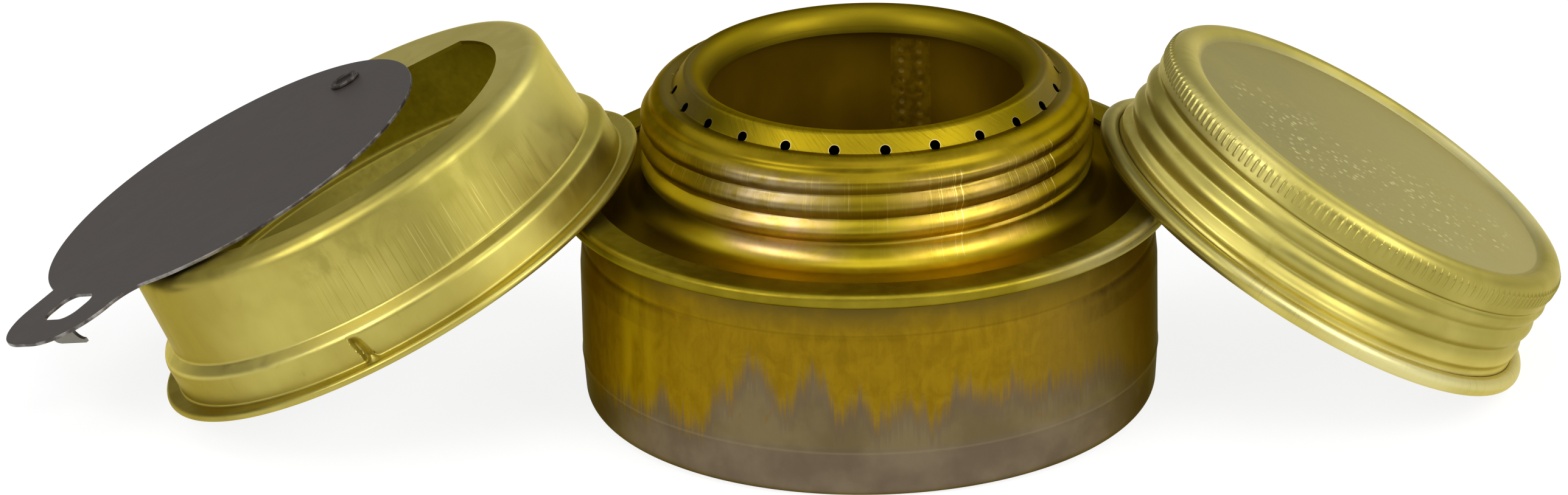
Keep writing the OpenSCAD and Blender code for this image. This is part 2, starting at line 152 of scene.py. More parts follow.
def lean(heading, reach, height, tilt):
    """Matrix that stands a lid on the floor and leans it on the rim."""
    turn = Matrix.Rotation(math.radians(heading), 4, "Z")
    place = Matrix.Translation(Vector((reach, 0, height)) * MM)
    return turn @ place @ Matrix.Rotation(math.radians(tilt), 4, "Y")


BURNER_PLACE = Matrix.Identity(4)
RING_PLACE = lean(*RING_LEAN)
CAP_PLACE = lean(*CAP_LEAN)
PIVOT_PLACE = RING_PLACE @ Matrix.Translation(Vector((0, -PIVOT_OFFSET, 0)) * MM)
FLAP_PLACE = (
    PIVOT_PLACE
    @ Matrix.Translation(Vector((0, 0, FLAP_Z)) * MM)
    @ Matrix.Rotation(math.radians(-FLAP_SWING), 4, "Z")
)


# Outlines

def arc(centre, radius, start, end, step=6.0):
    """Points of an arc about a centre, angles in degrees."""
    count = max(2, math.ceil(abs(end - start) / step) + 1)
    angles = np.radians(np.linspace(start, end, count))
    return np.stack([centre[0] + radius * np.cos(angles), centre[1] + radius * np.sin(angles)], 1)


def bend(before, at, after, radius):
    """Arc that rounds one corner, never longer than half of either leg."""
    before, at, after = (np.array(p[:2], float) for p in (before, at, after))
    back = (before - at) / norm(before - at)
    ahead = (after - at) / norm(after - at)
    half = math.acos(float(np.clip(back @ ahead, -1, 1))) / 2
    room = min(norm(before - at), norm(after - at)) / 2
    reach = min(radius / math.tan(half), room)
    size = reach * math.tan(half)
    middle = (back + ahead) / norm(back + ahead)
    centre = at + middle * size / math.sin(half)
    first = at + back * reach - centre
    last = at + ahead * reach - centre
    start = math.degrees(math.atan2(first[1], first[0]))
    turn = math.degrees(math.atan2(first[0] * last[1] - first[1] * last[0], first @ last))
    return arc(centre, size, start, start + turn)


def rounded(points):
    """Path through points of (distance from the axis, height) or with a bend radius as third."""
    path = []
    for i, point in enumerate(points):
        if len(point) == 2:
            path.append(np.array([point], float))
        else:
            path.append(bend(points[i - 1], point, points[i + 1], point[2]))
    return np.concatenate(path)


def distinct(path):
    """The path without repeated points."""
    keep = [path[0]]
    for point in path[1:]:
        if norm(point - keep[-1]) > 0.001:
            keep.append(point)
    return np.array(keep)


def filled(path, gap):
    """The path with points added so that no two are further apart than a gap."""
    points = []
    for a, b in zip(path[:-1], path[1:]):
        count = max(1, math.ceil(norm(b - a) / gap))
        points += [a + (b - a) * i / count for i in range(count)]
    return np.array(points + [path[-1]])


def moved_left(path, thickness):
    """The path moved to its left by a thickness."""
    ways = np.diff(path, axis=0)
    ways /= norm(ways, axis=1)[:, None]
    sides = np.stack([-ways[:, 1], ways[:, 0]], 1)
    first = np.concatenate([sides[:1], sides])
    second = np.concatenate([sides, sides[-1:]])
    return path + thickness * (first + second) / (1 + (first * second).sum(1))[:, None]


def sheet_loop(path, thickness):
    """Closed outline of a sheet whose thickness lies on the path's left."""
    return np.concatenate([path, moved_left(path, thickness)[::-1]])


def smooth(value, low, high):
    """0 below low, 1 above high, and a smooth step between."""
    t = np.clip((value - low) / (high - low), 0, 1)
    return t * t * (3 - 2 * t)


def between(value, rise, fall):
    """Rises smoothly from 0 to 1 over one span, and falls back to 0 over another."""
    return smooth(value, *rise) * (1 - smooth(value, *fall))


def pressed(height, middle, depth, width):
    """A depth at the middle height, falling smoothly to 0 a width away."""
    return depth * (1 - smooth(np.abs(height - middle), 0, width))


# Meshes

def link(name, data):
    """Adds an object to the scene."""
    obj = bpy.data.objects.new(name, data)
    bpy.context.scene.collection.objects.link(obj)
    return obj


def evaluated_mesh(obj):
    """Mesh of an object with its modifiers or its curve's bevel worked out."""
    bpy.context.view_layer.update()
    depsgraph = bpy.context.evaluated_depsgraph_get()
    return bpy.data.meshes.new_from_object(obj.evaluated_get(depsgraph))


SHARP = 35.0


def new_object(name, verts, faces, place, sharp=SHARP):
    """Makes a smooth-shaded mesh object of points in millimetres, and places it."""
    mesh = bpy.data.meshes.new(name)
    mesh.from_pydata([tuple(v) for v in np.asarray(verts, float) * MM], [], faces)
    work = bmesh.new()
    work.from_mesh(mesh)
    bmesh.ops.remove_doubles(work, verts=work.verts, dist=2e-7)
    bmesh.ops.recalc_face_normals(work, faces=work.faces)
    work.to_mesh(mesh)
    work.free()
    mesh.shade_smooth()
    mesh.set_sharp_from_angle(angle=math.radians(sharp))
    obj = link(name, mesh)
    obj.matrix_world = place
    return obj


def grid_faces(rows, columns, whole_turn):
    """Quads between rows of points, each row a loop; without a whole turn the ends are capped."""
    faces = []
    for i in range(rows if whole_turn else rows - 1):
        for j in range(columns):
            a = i * columns
            b = (i + 1) % rows * columns
            k = (j + 1) % columns
            faces.append((a + j, b + j, b + k, a + k))
    if not whole_turn:
        faces.append(tuple(range(columns)))
        faces.append(tuple(range((rows - 1) * columns, rows * columns)))
    return faces


def even_angles(count):
    return np.arange(count) * 2 * math.pi / count


def lathe(name, loop, place, angles, shape=None, sharp=SHARP):
    """Revolves a closed outline; shape moves its points by radius, height and angle."""
    radius = np.repeat(loop[None, :, 0], len(angles), 0)
    height = np.repeat(loop[None, :, 1], len(angles), 0)
    angle = np.repeat(angles[:, None], len(loop), 1)
    if shape:
        radius, height = shape(radius, height, angle)
    verts = np.stack([radius * np.cos(angle), radius * np.sin(angle), height], -1)
    faces = grid_faces(len(angles), len(loop), True)
    return new_object(name, verts.reshape(-1, 3), faces, place, sharp)


def ridge(height, angle, ridge_z, low, high, soft):
    """Height of a rolled right-hand thread, from 0 in its root to 1 on its crest."""
    lead = (angle + math.pi / 2) / (2 * math.pi) * THREAD_PITCH
    turn = (height - ridge_z - lead) / THREAD_PITCH
    crest = np.sqrt(np.cos(math.pi * turn) ** 2 + soft) - math.sqrt(soft)
    return crest * between(height, low, high)


# Lines pressed into walls: height, depth outwards, half width
CUP_LINES = ((FOOT_H, 0.06, 0.7), (CREASE_H, -0.04, 0.5), (CREASE_H - 0.9, 0.02, 0.8))
BEAD_LINE = (38.0, -0.16, 0.8)
CURL_LINE = (0.85, -0.03, 0.22)


def cup_shape(radius, height, _):
    """Presses the crease round the upper wall and the line where the foot starts."""
    on_wall = (radius > CUP_R - 0.45) & (radius < CUP_R + 0.1)
    press = sum(pressed(height, *where) for where in CUP_LINES)
    return radius + press * on_wall, height


def build_cup():
    wall_top_r = CUP_R - CREASE_DEPTH
    wall = rounded([
        (CUP_R - FOOT_INSET - CUP_CORNER, 0),
        (CUP_R - FOOT_INSET, 0, CUP_CORNER),
        (CUP_R, FOOT_H),
        (CUP_R, CREASE_H - CREASE_SLOPE),
        (wall_top_r, CREASE_H),
        (wall_top_r, RIM_H - FOLD_H, 0.8),
        (RIM_R, RIM_H - FOLD_H, RIM_ROLL),
        (RIM_R, RIM_H, RIM_ROLL),
        (LAND_R, RIM_H),
    ])
    base = np.array([(0, 0), (CUP_R - FOOT_INSET - CUP_CORNER, 0)], float)
    path = distinct(np.concatenate([filled(base, 6.0), filled(wall, 0.2)]))
    loop = sheet_loop(path, SHEET)
    return lathe("fuel_cup_drawn", loop, BURNER_PLACE, even_angles(240), cup_shape)


# Threads: height of a ridge, heights of run-in and run-out, softness of the grooves
COLLAR_THREAD = (34.07, (29.0, 29.75), (36.8, 38.9), 0.015)
CAP_THREAD = (9.6, (2.3, 3.6), (10.2, 11.0), 0.08)


def collar_shape(radius, height, angle):
    on_neck = (radius > NECK_R - 1.5) & (radius < NECK_R + 2.5)
    rise = THREAD_DEPTH * ridge(height, angle, *COLLAR_THREAD) + pressed(height, *BEAD_LINE)
    return radius + rise * on_neck, height


def build_collar():
    bead_centre = (NECK_R - BEAD_INSET - BEAD_R, LEDGE_Z + BEAD_RISE - BEAD_R)
    bead = arc(bead_centre, BEAD_R, 0, BEAD_END)
    below = rounded([
        (FLANGE_R, SHOULDER_Z),
        (NECK_R, SHOULDER_Z, FLARE_R),
        (NECK_R, bead_centre[1] - 1.5, 1.0),
        (NECK_R - BEAD_INSET, bead_centre[1]),
    ])
    above = rounded([
        bead[-1],
        (LEDGE_R, LEDGE_Z, 0.15),
        (CROWN_R, CROWN_Z, CROWN_ROLL),
        (THROAT_R + CROWN_ROLL, CROWN_Z),
    ])
    turns = np.radians(np.linspace(90, FUNNEL_END, 30))
    funnel = np.stack([
        THROAT_R + CROWN_ROLL + FUNNEL_W * np.cos(turns),
        CROWN_Z - FUNNEL_H + FUNNEL_H * np.sin(turns),
    ], 1)
    parts = [filled(below, 0.16), filled(bead, 0.16), filled(above, 0.5), funnel]
    loop = sheet_loop(distinct(np.concatenate(parts)), SHEET)
    collar = lathe("jet_collar_rolled", loop, BURNER_PLACE, even_angles(288), collar_shape)
    drill_jets(collar)
    return collar


def drill_jets(collar):
    """Cuts the row of jets square to their sloping face."""
    work = bmesh.new()
    for i in range(JET_COUNT):
        heading = math.radians(JET_TURN - 90 + (i + 0.5) * 360 / JET_COUNT)
        place = (
            Matrix.Rotation(heading, 4, "Z")
            @ Matrix.Translation(Vector((JET_R, 0, LEDGE_Z + JET_RISE)) * MM)
            @ Matrix.Rotation(JET_SLOPE, 4, "Y")
        )
        bmesh.ops.create_cone(
            work, cap_ends=True, segments=20, radius1=JET_D / 2 * MM, radius2=JET_D / 2 * MM,
            depth=3 * MM, matrix=place,
        )
    mesh = bpy.data.meshes.new("jet_drills")
    work.to_mesh(mesh)
    work.free()
    drills = link("jet_drills", mesh)
    cut = collar.modifiers.new("jets", "BOOLEAN")
    cut.operation = "DIFFERENCE"
    cut.solver = "EXACT"
    cut.object = drills
    cut_mesh = evaluated_mesh(collar)
    collar.modifiers.clear()
    collar.data = cut_mesh
    cut_mesh.set_sharp_from_angle(angle=math.radians(SHARP))
    bpy.data.objects.remove(drills)


def build_tube():
    loop = np.concatenate([
        filled(np.array([(TUBE_R, SHEET), (TUBE_R, TUBE_TOP_Z)]), 2.0),
        filled(np.array([(TUBE_R + SHEET, TUBE_TOP_Z), (TUBE_R + SHEET, SHEET)]), 2.0),
    ])
    return lathe("inner_tube_rolled", loop, BURNER_PLACE, even_angles(180))


WELD_COLUMNS = (-1.1, 1.2)
WELD_PITCH = 1.35
WELD_DEPTH = 0.04
WELD_SPREAD = 0.10
SEAM_STEP = 0.08
SEAM_EDGE = 1.6


def build_seam():
    """Lapped seam of the inner tube, with its two columns of spot welds pressed in."""
    top_z = CROWN_Z - THROAT_LIP - 0.15
    half = SEAM_W / TUBE_R / 2
    columns = np.linspace(-half, half, 45)
    rows = np.linspace(SHEET, top_z, 240)
    angle, height = np.meshgrid(columns, rows)
    across = angle * TUBE_R
    edge = smooth(SEAM_W / 2 - np.abs(across), 0, SEAM_EDGE)
    phase = (height / WELD_PITCH) % 1 - 0.5
    up = phase * WELD_PITCH
    dent = sum(np.exp(-((across - c) ** 2 + up ** 2) / WELD_SPREAD) for c in WELD_COLUMNS)
    heading = angle + math.radians(SEAM_HEADING)
    inner = TUBE_R - SEAM_STEP * edge + WELD_DEPTH * dent * edge
    sides = []
    for radius in (inner, np.full_like(inner, TUBE_R + SHEET / 2)):
        sides.append(np.stack([radius * np.cos(heading), radius * np.sin(heading), height], -1))
    loop = np.concatenate([sides[0], sides[1][:, ::-1]], 1)
    faces = grid_faces(len(rows), loop.shape[1], False)
    return new_object("tube_seam", loop.reshape(-1, 3), faces, BURNER_PLACE)


# Grip nicks: headings, depth, slant, and spans over which they start and end round and upwards
NICK_ANGLES = (87.3, 207.3, 327.3)
NICK_DEPTH = 0.85
NICK_SLANT = 0.4
NICK_TOP_Z = 4.6
NICK_ROUND = ((-0.35, 0.0), (0.3, 3.0))
NICK_UP = ((0.9, 1.4), (3.4, 5.0))
# Bumps at the nicks' feet: height, place and width, in degrees and away from the band
KNOB_H = 0.85
KNOB_ROUND = (3.2, 0.85)
KNOB_OUT = (0.4, 0.55)
FLANGE_FROM_R = 26.2


def ring_angles():
    """Even angles, with more of them round the nicks and at the land's corners."""
    degrees = list(np.arange(0, 360, 1.0))
    for middle in NICK_ANGLES:
        degrees += list(middle + np.arange(-3, 6, 0.2))
    corner = math.degrees(math.asin(LAND_EDGE / OPENING_R))
    degrees += [360 - corner, 180 + corner]
    degrees = np.unique(np.round(np.array(degrees) % 360, 3))
    return np.radians(degrees)


def opening_edge(angle):
    """Distance from the ring's axis to the edge of its opening, which has a straight land."""
    down = np.maximum(-np.sin(angle), 1e-6)
    return np.minimum(OPENING_R, LAND_EDGE / down)


def ring_shape(radius, height, angle):
    on_flange = radius < FLANGE_FROM_R
    share = (FLANGE_FROM_R - radius) / (FLANGE_FROM_R - OPENING_R)
    reach = FLANGE_FROM_R - share * (FLANGE_FROM_R - opening_edge(angle))
    radius = np.where(on_flange, reach, radius)
    on_band = (radius > RING_BAND_R - 0.9) & (radius < RING_BAND_R + 0.35) & (height > 0.3)
    on_lip = (radius > RING_BAND_R - 0.1) & (radius < RING_LIP_R - 0.6)
    for middle in NICK_ANGLES:
        off = (np.degrees(angle) - middle + 180) % 360 - 180
        slant = off - NICK_SLANT * (NICK_TOP_Z - height)
        nick = between(slant, *NICK_ROUND) * between(height, *NICK_UP)
        radius = radius - NICK_DEPTH * nick * on_band
        aside = (off - KNOB_ROUND[0]) / KNOB_ROUND[1]
        outward = (radius - RING_BAND_R - KNOB_OUT[0]) / KNOB_OUT[1]
        knob = np.exp(-aside ** 2 - outward ** 2)
        height = height + KNOB_H * knob * on_lip * (height > 0.8) * (height < 1.6)
    return radius, height


def build_ring():
    outside = rounded([
        (RING_BAND_R - SHEET, 0),
        (RING_LIP_R, 0, RING_LIP_T / 2),
        (RING_LIP_R, RING_LIP_T, RING_LIP_T / 2),
        (RING_BAND_R, RING_LIP_T, 0.3),
        (RING_BAND_R, RING_BAND_H, 1.0),
        (RING_WALL_R, RING_WALL_Z, 0.5),
        (RING_TOP_R, RING_H, RING_CORNER),
        (OPENING_R, RING_H),
    ])
    inside = rounded([
        (OPENING_R, RING_H - SHEET),
        (RING_TOP_R - SHEET, RING_H - SHEET, RING_CORNER - SHEET),
        (RING_WALL_R - SHEET, RING_WALL_Z - 0.2, 0.6),
        (RING_BAND_R - SHEET, RING_BAND_H - 0.2, 0.5),
        (RING_BAND_R - SHEET, 0),
    ])
    outside = filled(outside, 0.3)
    inside = filled(inside, 0.8)[:-1]
    loop = np.concatenate([outside, inside])
    return lathe("simmer_ring_pressed", loop, RING_PLACE, ring_angles(), ring_shape)


def paint_inside(ring):
    """Gives the faces inside the ring its second material, which holds painted shade."""
    for face in ring.data.polygons:
        x, y, z = face.center / MM
        nx, ny, nz = face.normal
        inward = x * nx + y * ny < 0
        under = nz < -0.7 and z > RING_WALL_Z
        face.material_index = int(z > 0.2 and (inward or under))


def paint_edges(flap):
    """Gives the flap's cut edges its second material."""
    for face in flap.data.polygons:
        face.material_index = int(abs(face.normal.z) < 0.85)


def build_rivet():
    upper = FLAP_Z + FLAP_T + RIVET_PLAY
    lower = RING_H - SHEET
    top = upper + RIVET_HEAD_H
    edge_r, floor_r, depth = RIVET_HOLLOW
    loop = rounded([
        (0, lower - RIVET_HEAD_H),
        (RIVET_HEAD_R, lower - RIVET_HEAD_H, 0.2),
        (RIVET_HEAD_R, lower, 0.05),
        (RIVET_R, lower, 0.05),
        (RIVET_R, upper, 0.05),
        (RIVET_HEAD_R, upper, 0.05),
        (RIVET_HEAD_R, top, 0.3),
        (edge_r, top, 0.15),
        (floor_r, top - depth, 0.15),
        (0, top - depth),
    ])
    return lathe("pivot_rivet_headed", loop, PIVOT_PLACE, even_angles(48))


def flap_outline():
    """Disc with its tab: a fillet on the near side, a plain corner on the other."""
    near_x = TAB_SHIFT - TAB_W / 2
    far_x = TAB_SHIFT + TAB_W / 2
    fillet_x = near_x - TAB_FILLET
    fillet_y = FLAP_ARM + math.sqrt((FLAP_R + TAB_FILLET) ** 2 - fillet_x ** 2)
    touch = math.degrees(math.atan2(fillet_y - FLAP_ARM, fillet_x))
    corner = math.degrees(math.acos(far_x / FLAP_R))
    disc = arc((0, FLAP_ARM), FLAP_R, touch, corner + 360, 2.0)
    far = arc((far_x - TAB_CORNER, TAB_END - TAB_CORNER), TAB_CORNER, 0, 90, 5.0)
    near = arc((near_x + TAB_CORNER, TAB_END - TAB_CORNER), TAB_CORNER, 90, 180, 5.0)
    fillet = arc((fillet_x, fillet_y), TAB_FILLET, 0, touch - 180, 5.0)
    return distinct(np.concatenate([disc, far, near, fillet]))[:-1]


def hole_outline():
    x = HOLE_W / 2 - HOLE_CORNER
    y = HOLE_L / 2 - HOLE_CORNER
    middle = np.array([TAB_SHIFT, TONGUE_Y - HOLE_L / 2])
    corners = ((1, 1, 0), (-1, 1, 90), (-1, -1, 180), (1, -1, 270))
    return np.concatenate([
        arc(middle + (sx * x, sy * y), HOLE_CORNER, start, start + 90)
        for sx, sy, start in corners
    ])


def build_flap():
    bevel = 0.07
    curve = bpy.data.curves.new("flap_outline", "CURVE")
    curve.dimensions = "2D"
    curve.fill_mode = "BOTH"
    pivot = arc((0, 0), RIVET_R + RIVET_PLAY, 0, 352.5, 7.5)
    for outline in (flap_outline(), hole_outline(), pivot):
        spline = curve.splines.new("POLY")
        spline.points.add(len(outline) - 1)
        for point, (x, y) in zip(spline.points, outline):
            point.co = (x * MM, y * MM, 0, 1)
        spline.use_cyclic_u = True
    curve.extrude = (FLAP_T / 2 - bevel) * MM
    curve.bevel_depth = bevel * MM
    curve.bevel_resolution = 2
    curve.offset = -bevel * MM
    drawn = link("flap_drawn", curve)
    mesh = evaluated_mesh(drawn)
    bpy.data.objects.remove(drawn)
    mesh.name = "flap_cut"
    mesh.transform(Matrix.Translation((0, 0, FLAP_T / 2 * MM)))
    mesh.shade_smooth()
    mesh.set_sharp_from_angle(angle=math.radians(20))
    flap = link("flap_cut", mesh)
    flap.matrix_world = FLAP_PLACE
    return flap


def build_tongue():
    """Tongue bent down from the hole's outer edge, with a tip hooked to the near side."""
    bend_r = 0.3
    top = FLAP_T / 2
    middle_y = TONGUE_Y + FLAP_T / 2
    line = [(middle_y + bend_r + 0.5, top)]
    line += [
        (middle_y + bend_r - bend_r * math.sin(a), top - bend_r * (1 - math.cos(a)))
        for a in np.radians(np.linspace(0, 90, 8))
    ]
    line.append((middle_y, -TONGUE_DROP))
    line = filled(np.array(line), 0.1)
    run = np.concatenate([[0], np.cumsum(norm(np.diff(line, axis=0), axis=1))])
    left = run[-1] - run
    inset = np.clip(TONGUE_CORNER - left, 0, TONGUE_CORNER)
    far = TONGUE_W / 2 - TONGUE_CORNER + np.sqrt(TONGUE_CORNER ** 2 - inset ** 2)
    rise = np.clip(HOOK_W + HOOK_TIP - left, 0, HOOK_W)
    near = -TONGUE_NEAR - HOOK_W + np.sqrt(HOOK_W ** 2 - rise ** 2)
    ways = np.gradient(line, axis=0)
    ways /= norm(ways, axis=1)[:, None]
    sides = np.stack([-ways[:, 1], ways[:, 0]], 1)
    thin = FLAP_T / 2 - 0.01
    soft = 0.06
    ring = [
        (0, -thin + soft, 0), (0, thin - soft, 0), (0, thin, soft), (1, thin, -soft),
        (1, thin - soft, 0), (1, -thin + soft, 0), (1, -thin, -soft), (0, -thin, soft),
    ]
    verts = []
    for i, point in enumerate(line):
        for share, out, inset_x in ring:
            y, z = point + sides[i] * out
            x = near[i] + share * (far[i] - near[i]) + inset_x
            verts.append((TAB_SHIFT + x, y, z))
    faces = grid_faces(len(line), len(ring), False)
    return new_object("flap_tongue", verts, faces, FLAP_PLACE, 40.0)


def cap_shape(radius, height, angle):
    on_wall = (radius > CAP_ROOT_R - 1.0) & (radius < CAP_ROOT_R + 0.55) & (height > 2.4)
    rise = THREAD_DEPTH * ridge(height, angle, *CAP_THREAD)
    press = pressed(height, *CURL_LINE) * (radius > CURL_R + CURL_BEND_R)
    return radius + rise * on_wall + press, height


def build_cap():
    foot_r = CURL_R - CURL_BEND_R
    curl = arc((CURL_R, CURL_MID_Z), CURL_BEND_R, CURL_START, -180, 5.0)
    crest = arc((KNURL_R - CAP_CORNER, CAP_H - CAP_CORNER), CAP_CORNER, 0, CREST_END)
    wall = rounded([
        (foot_r, CURL_MID_Z),
        (foot_r, 2 * CURL_MID_Z, 0.9),
        (CAP_ROOT_R, CAP_ROOT_Z, 0.9),
        (CAP_ROOT_R, CAP_CREASE_Z, 0.6),
        (KNURL_R, CAP_CREASE_Z + 0.4, 0.6),
        crest[0],
    ])
    slope = rounded([crest[-1], (PANEL_R, PANEL_Z, 0.5), (PANEL_R - 1.5, PANEL_Z)])
    panel = filled(np.array([slope[-1], (0, PANEL_Z)]), 3.0)
    path = distinct(np.concatenate([curl, filled(wall, 0.14), crest, filled(slope, 0.3), panel]))
    loop = sheet_loop(path, CAP_SHEET)
    return lathe("screw_cap_rolled", loop, CAP_PLACE, even_angles(360), cap_shape)


KNURL_COUNT = 164
KNURL_Z = (12.0, 14.45)
KNURL_W = 0.17
KNURL_OUT = 0.18
KNURL_ENDS = ((0.0, 0.1), (0.75, 1.0))


def knurl_face(z):
    """Distance from the axis to the cap's face behind the knurl."""
    up = np.clip(z - (CAP_H - CAP_CORNER), 0, CAP_CORNER)
    return KNURL_R - CAP_CORNER + np.sqrt(CAP_CORNER ** 2 - up ** 2)


def knurl_shape(radius, height, angle):
    low, high = KNURL_Z
    pitch = 2 * math.pi / KNURL_COUNT
    across = ((angle / pitch + 0.5) % 1 - 0.5) * pitch * KNURL_R
    share = np.clip((height - low) / (high - low), 0, 1)
    width = KNURL_W * (1.0 - 0.75 * smooth(share, 0.45, 1.0))
    rib = np.exp(-(across / width) ** 2) * between(share, *KNURL_ENDS)
    outer = radius > knurl_face(height) - 0.1
    return radius + KNURL_OUT * rib * outer, height


def build_knurl():
    """Row of fine pressed ribs round the cap's upper band."""
    z = np.linspace(KNURL_Z[0] - 0.05, KNURL_Z[1] + 0.05, 14)
    outer = np.stack([knurl_face(z) - 0.012, z], 1)
    inner = np.stack([knurl_face(z[::-4]) - 0.3, z[::-4]], 1)
    loop = np.concatenate([outer, inner])
    return lathe("cap_knurl", loop, CAP_PLACE, even_angles(KNURL_COUNT * 7), knurl_shape, 80.0)


# Materials

class Nodes:
    """A tree of nodes of a material or of the world."""

    def __init__(self, owner):
        owner.use_nodes = True
        self.tree = owner.node_tree

    def feed(self, socket, value):
        if isinstance(value, bpy.types.NodeSocket):
            self.tree.links.new(value, socket)
        elif socket.type == "RGBA":
            socket.default_value = value + (1.0,)
        else:
            socket.default_value = value

    def node(self, kind, inputs=None, **settings):
        """A new node, with its settings and with values fed to inputs by name or number."""
        made = self.tree.nodes.new(kind)
        for key, value in settings.items():
            setattr(made, key, value)
        for key, value in (inputs or {}).items():
            self.feed(made.inputs[key], value)
        return made

    def fed(self, kind, *values, **settings):
        """First output of a new node, with values fed to its first inputs."""
        return self.node(kind, dict(enumerate(values)), **settings).outputs[0]

    def math(self, operation, *values):
        return self.fed("ShaderNodeMath", *values, operation=operation)

    def times(self, first, *others):
        for other in others:
            first = self.math("MULTIPLY", first, other)
        return first

    def step(self, value, low, high, to_low=0.0, to_high=1.0):
        """Smooth step of a value, from one level below low to another above high."""
        values = (value, low, high, to_low, to_high)
        return self.fed("ShaderNodeMapRange", *values, interpolation_type="SMOOTHSTEP")


class Paint(Nodes):
    """A material of nodes, whose colour is laid on in coats; places are the object's own, in mm."""

    def __init__(self, name):
        self.material = bpy.data.materials.new(name)
        super().__init__(self.material)
        self.spot = self.node("ShaderNodeTexCoord").outputs["Object"]
        self.x, self.y, self.z = self.node("ShaderNodeSeparateXYZ", {0: self.place(1.0)}).outputs
        self.reach = self.math("SQRT", self.squares(self.x, self.y))
        self.colour = None

    def place(self, stretch, shift=(0.0, 0.0, 0.0)):
        """The object's own place, stretched by one share or by one for each axis."""
        if not isinstance(stretch, tuple):
            stretch = (stretch,) * 3
        scale = tuple(s / MM for s in stretch)
        inputs = {"Vector": self.spot, "Scale": scale, "Location": shift}
        return self.node("ShaderNodeMapping", inputs).outputs[0]

    def squares(self, first, second):
        return self.math("MULTIPLY_ADD", first, first, self.times(second, second))

    def side(self, front=-1.0):
        """Degrees round the axis from the viewer's side, which is -Y, or +Y if front is 1."""
        angle = self.math("ARCTAN2", self.times(self.x, -front), self.times(self.y, front))
        return self.math("DEGREES", angle)

    def texture(self, place, detail, rough, warp=0.0):
        inputs = {"Vector": place, "Scale": 1.0, "Detail": detail}
        inputs.update({"Roughness": rough, "Distortion": warp})
        return self.node("ShaderNodeTexNoise", inputs).outputs["Fac"]

    def noise(self, stretch, detail, rough, shift=(0.0, 0.0, 0.0), warp=0.0):
        return self.texture(self.place(stretch, shift), detail, rough, warp)

    def round_lines(self, side, per_degree, per_mm, detail, rough):
        """Noise drawn out along the height or round the axis."""
        round_axis = self.times(side, per_degree)
        place = self.fed("ShaderNodeCombineXYZ", round_axis, self.times(self.z, per_mm))
        return self.texture(place, detail, rough)

    def dots(self, stretch, size, spread):
        """Round specks, 1 in the middle of each."""
        inputs = {"Vector": self.place(stretch), "Scale": 1.0, "Randomness": spread}
        cells = self.node("ShaderNodeTexVoronoi", inputs)
        return self.step(cells.outputs["Distance"], size, size * 0.4)

    def window(self, value, low, high, soft):
        """1 between two limits, with soft ends."""
        rise = self.step(value, low - soft, low + soft)
        return self.times(rise, self.step(value, high + soft, high - soft))

    def curve(self, value, points):
        made = self.node("ShaderNodeFloatCurve", {"Value": value})
        line = made.mapping.curves[0]
        line.points[0].location = points[0]
        line.points[1].location = points[-1]
        for point in points[1:-1]:
            line.points.new(*point)
        made.mapping.update()
        return made.outputs[0]

    def mix(self, share, first, second):
        """Colour between two others."""
        inputs = {0: share, 6: first, 7: second}
        return self.node("ShaderNodeMix", inputs, data_type="RGBA").outputs[2]

    def tones(self, value, first, second, low=0.35, high=0.65):
        """One colour where the value is low, and another where it is high."""
        return self.mix(self.step(value, low, high), first, second)

    def coat(self, colour, tint, *shares):
        """A colour with a tint over it, as strong as the shares' product."""
        return self.mix(self.times(*shares), colour, tint)

    def lay(self, tint, *shares):
        """Lays a tint over the material's colour."""
        self.colour = self.coat(self.colour, tint, *shares)

    def finish(self, rough, bumps, metal=1.0, edge=(1.0, 1.0, 1.0)):
        """Feeds the shader; bumps are (noise, height, strength), edge tints metal seen edge on."""
        inputs = {"Base Color": self.colour, "Roughness": rough, "Metallic": metal}
        inputs["Specular Tint"] = edge
        for noise, height, strength in bumps:
            bump = {"Height": noise, "Distance": height * MM, "Strength": strength}
            if "Normal" in inputs:
                bump["Normal"] = inputs["Normal"]
            inputs["Normal"] = self.node("ShaderNodeBump", bump).outputs["Normal"]
        for key, value in inputs.items():
            self.feed(self.tree.nodes["Principled BSDF"].inputs[key], value)
        return self.material


# Near-black painted shade for the dark cavity seen through the jets and behind the throat's lip.
DEEP_SHADE = (0.012, 0.008, 0.002)

# Lower edge of the heat stain round the cup: angle from the viewer's side, height
STAIN_EDGE = (
    (-180, 12), (-150, 9), (-128, 15), (-110, 8), (-92, 6), (-72, 5.6), (-63, 6.4),
    (-50, 7.2), (-46, 9.8), (-42, 7.4), (-36, 7.2), (-33, 11.6), (-28, 13), (-24.5, 16.4),
    (-20, 13.4), (-17.5, 12), (-12.5, 16.2), (-9, 13), (-5, 11.2), (-3, 13), (0, 10.6),
    (4, 11), (6, 12.2), (12, 10.2), (17, 13.6), (21, 12.6), (25, 11.8), (29, 13.4), (33, 11),
    (38, 12.2), (44, 10.8), (50, 11.8), (62, 8.6), (78, 6.5), (95, 8), (118, 13),
    (140, 8), (162, 14), (180, 12),
)
STAIN_SPAN = 30


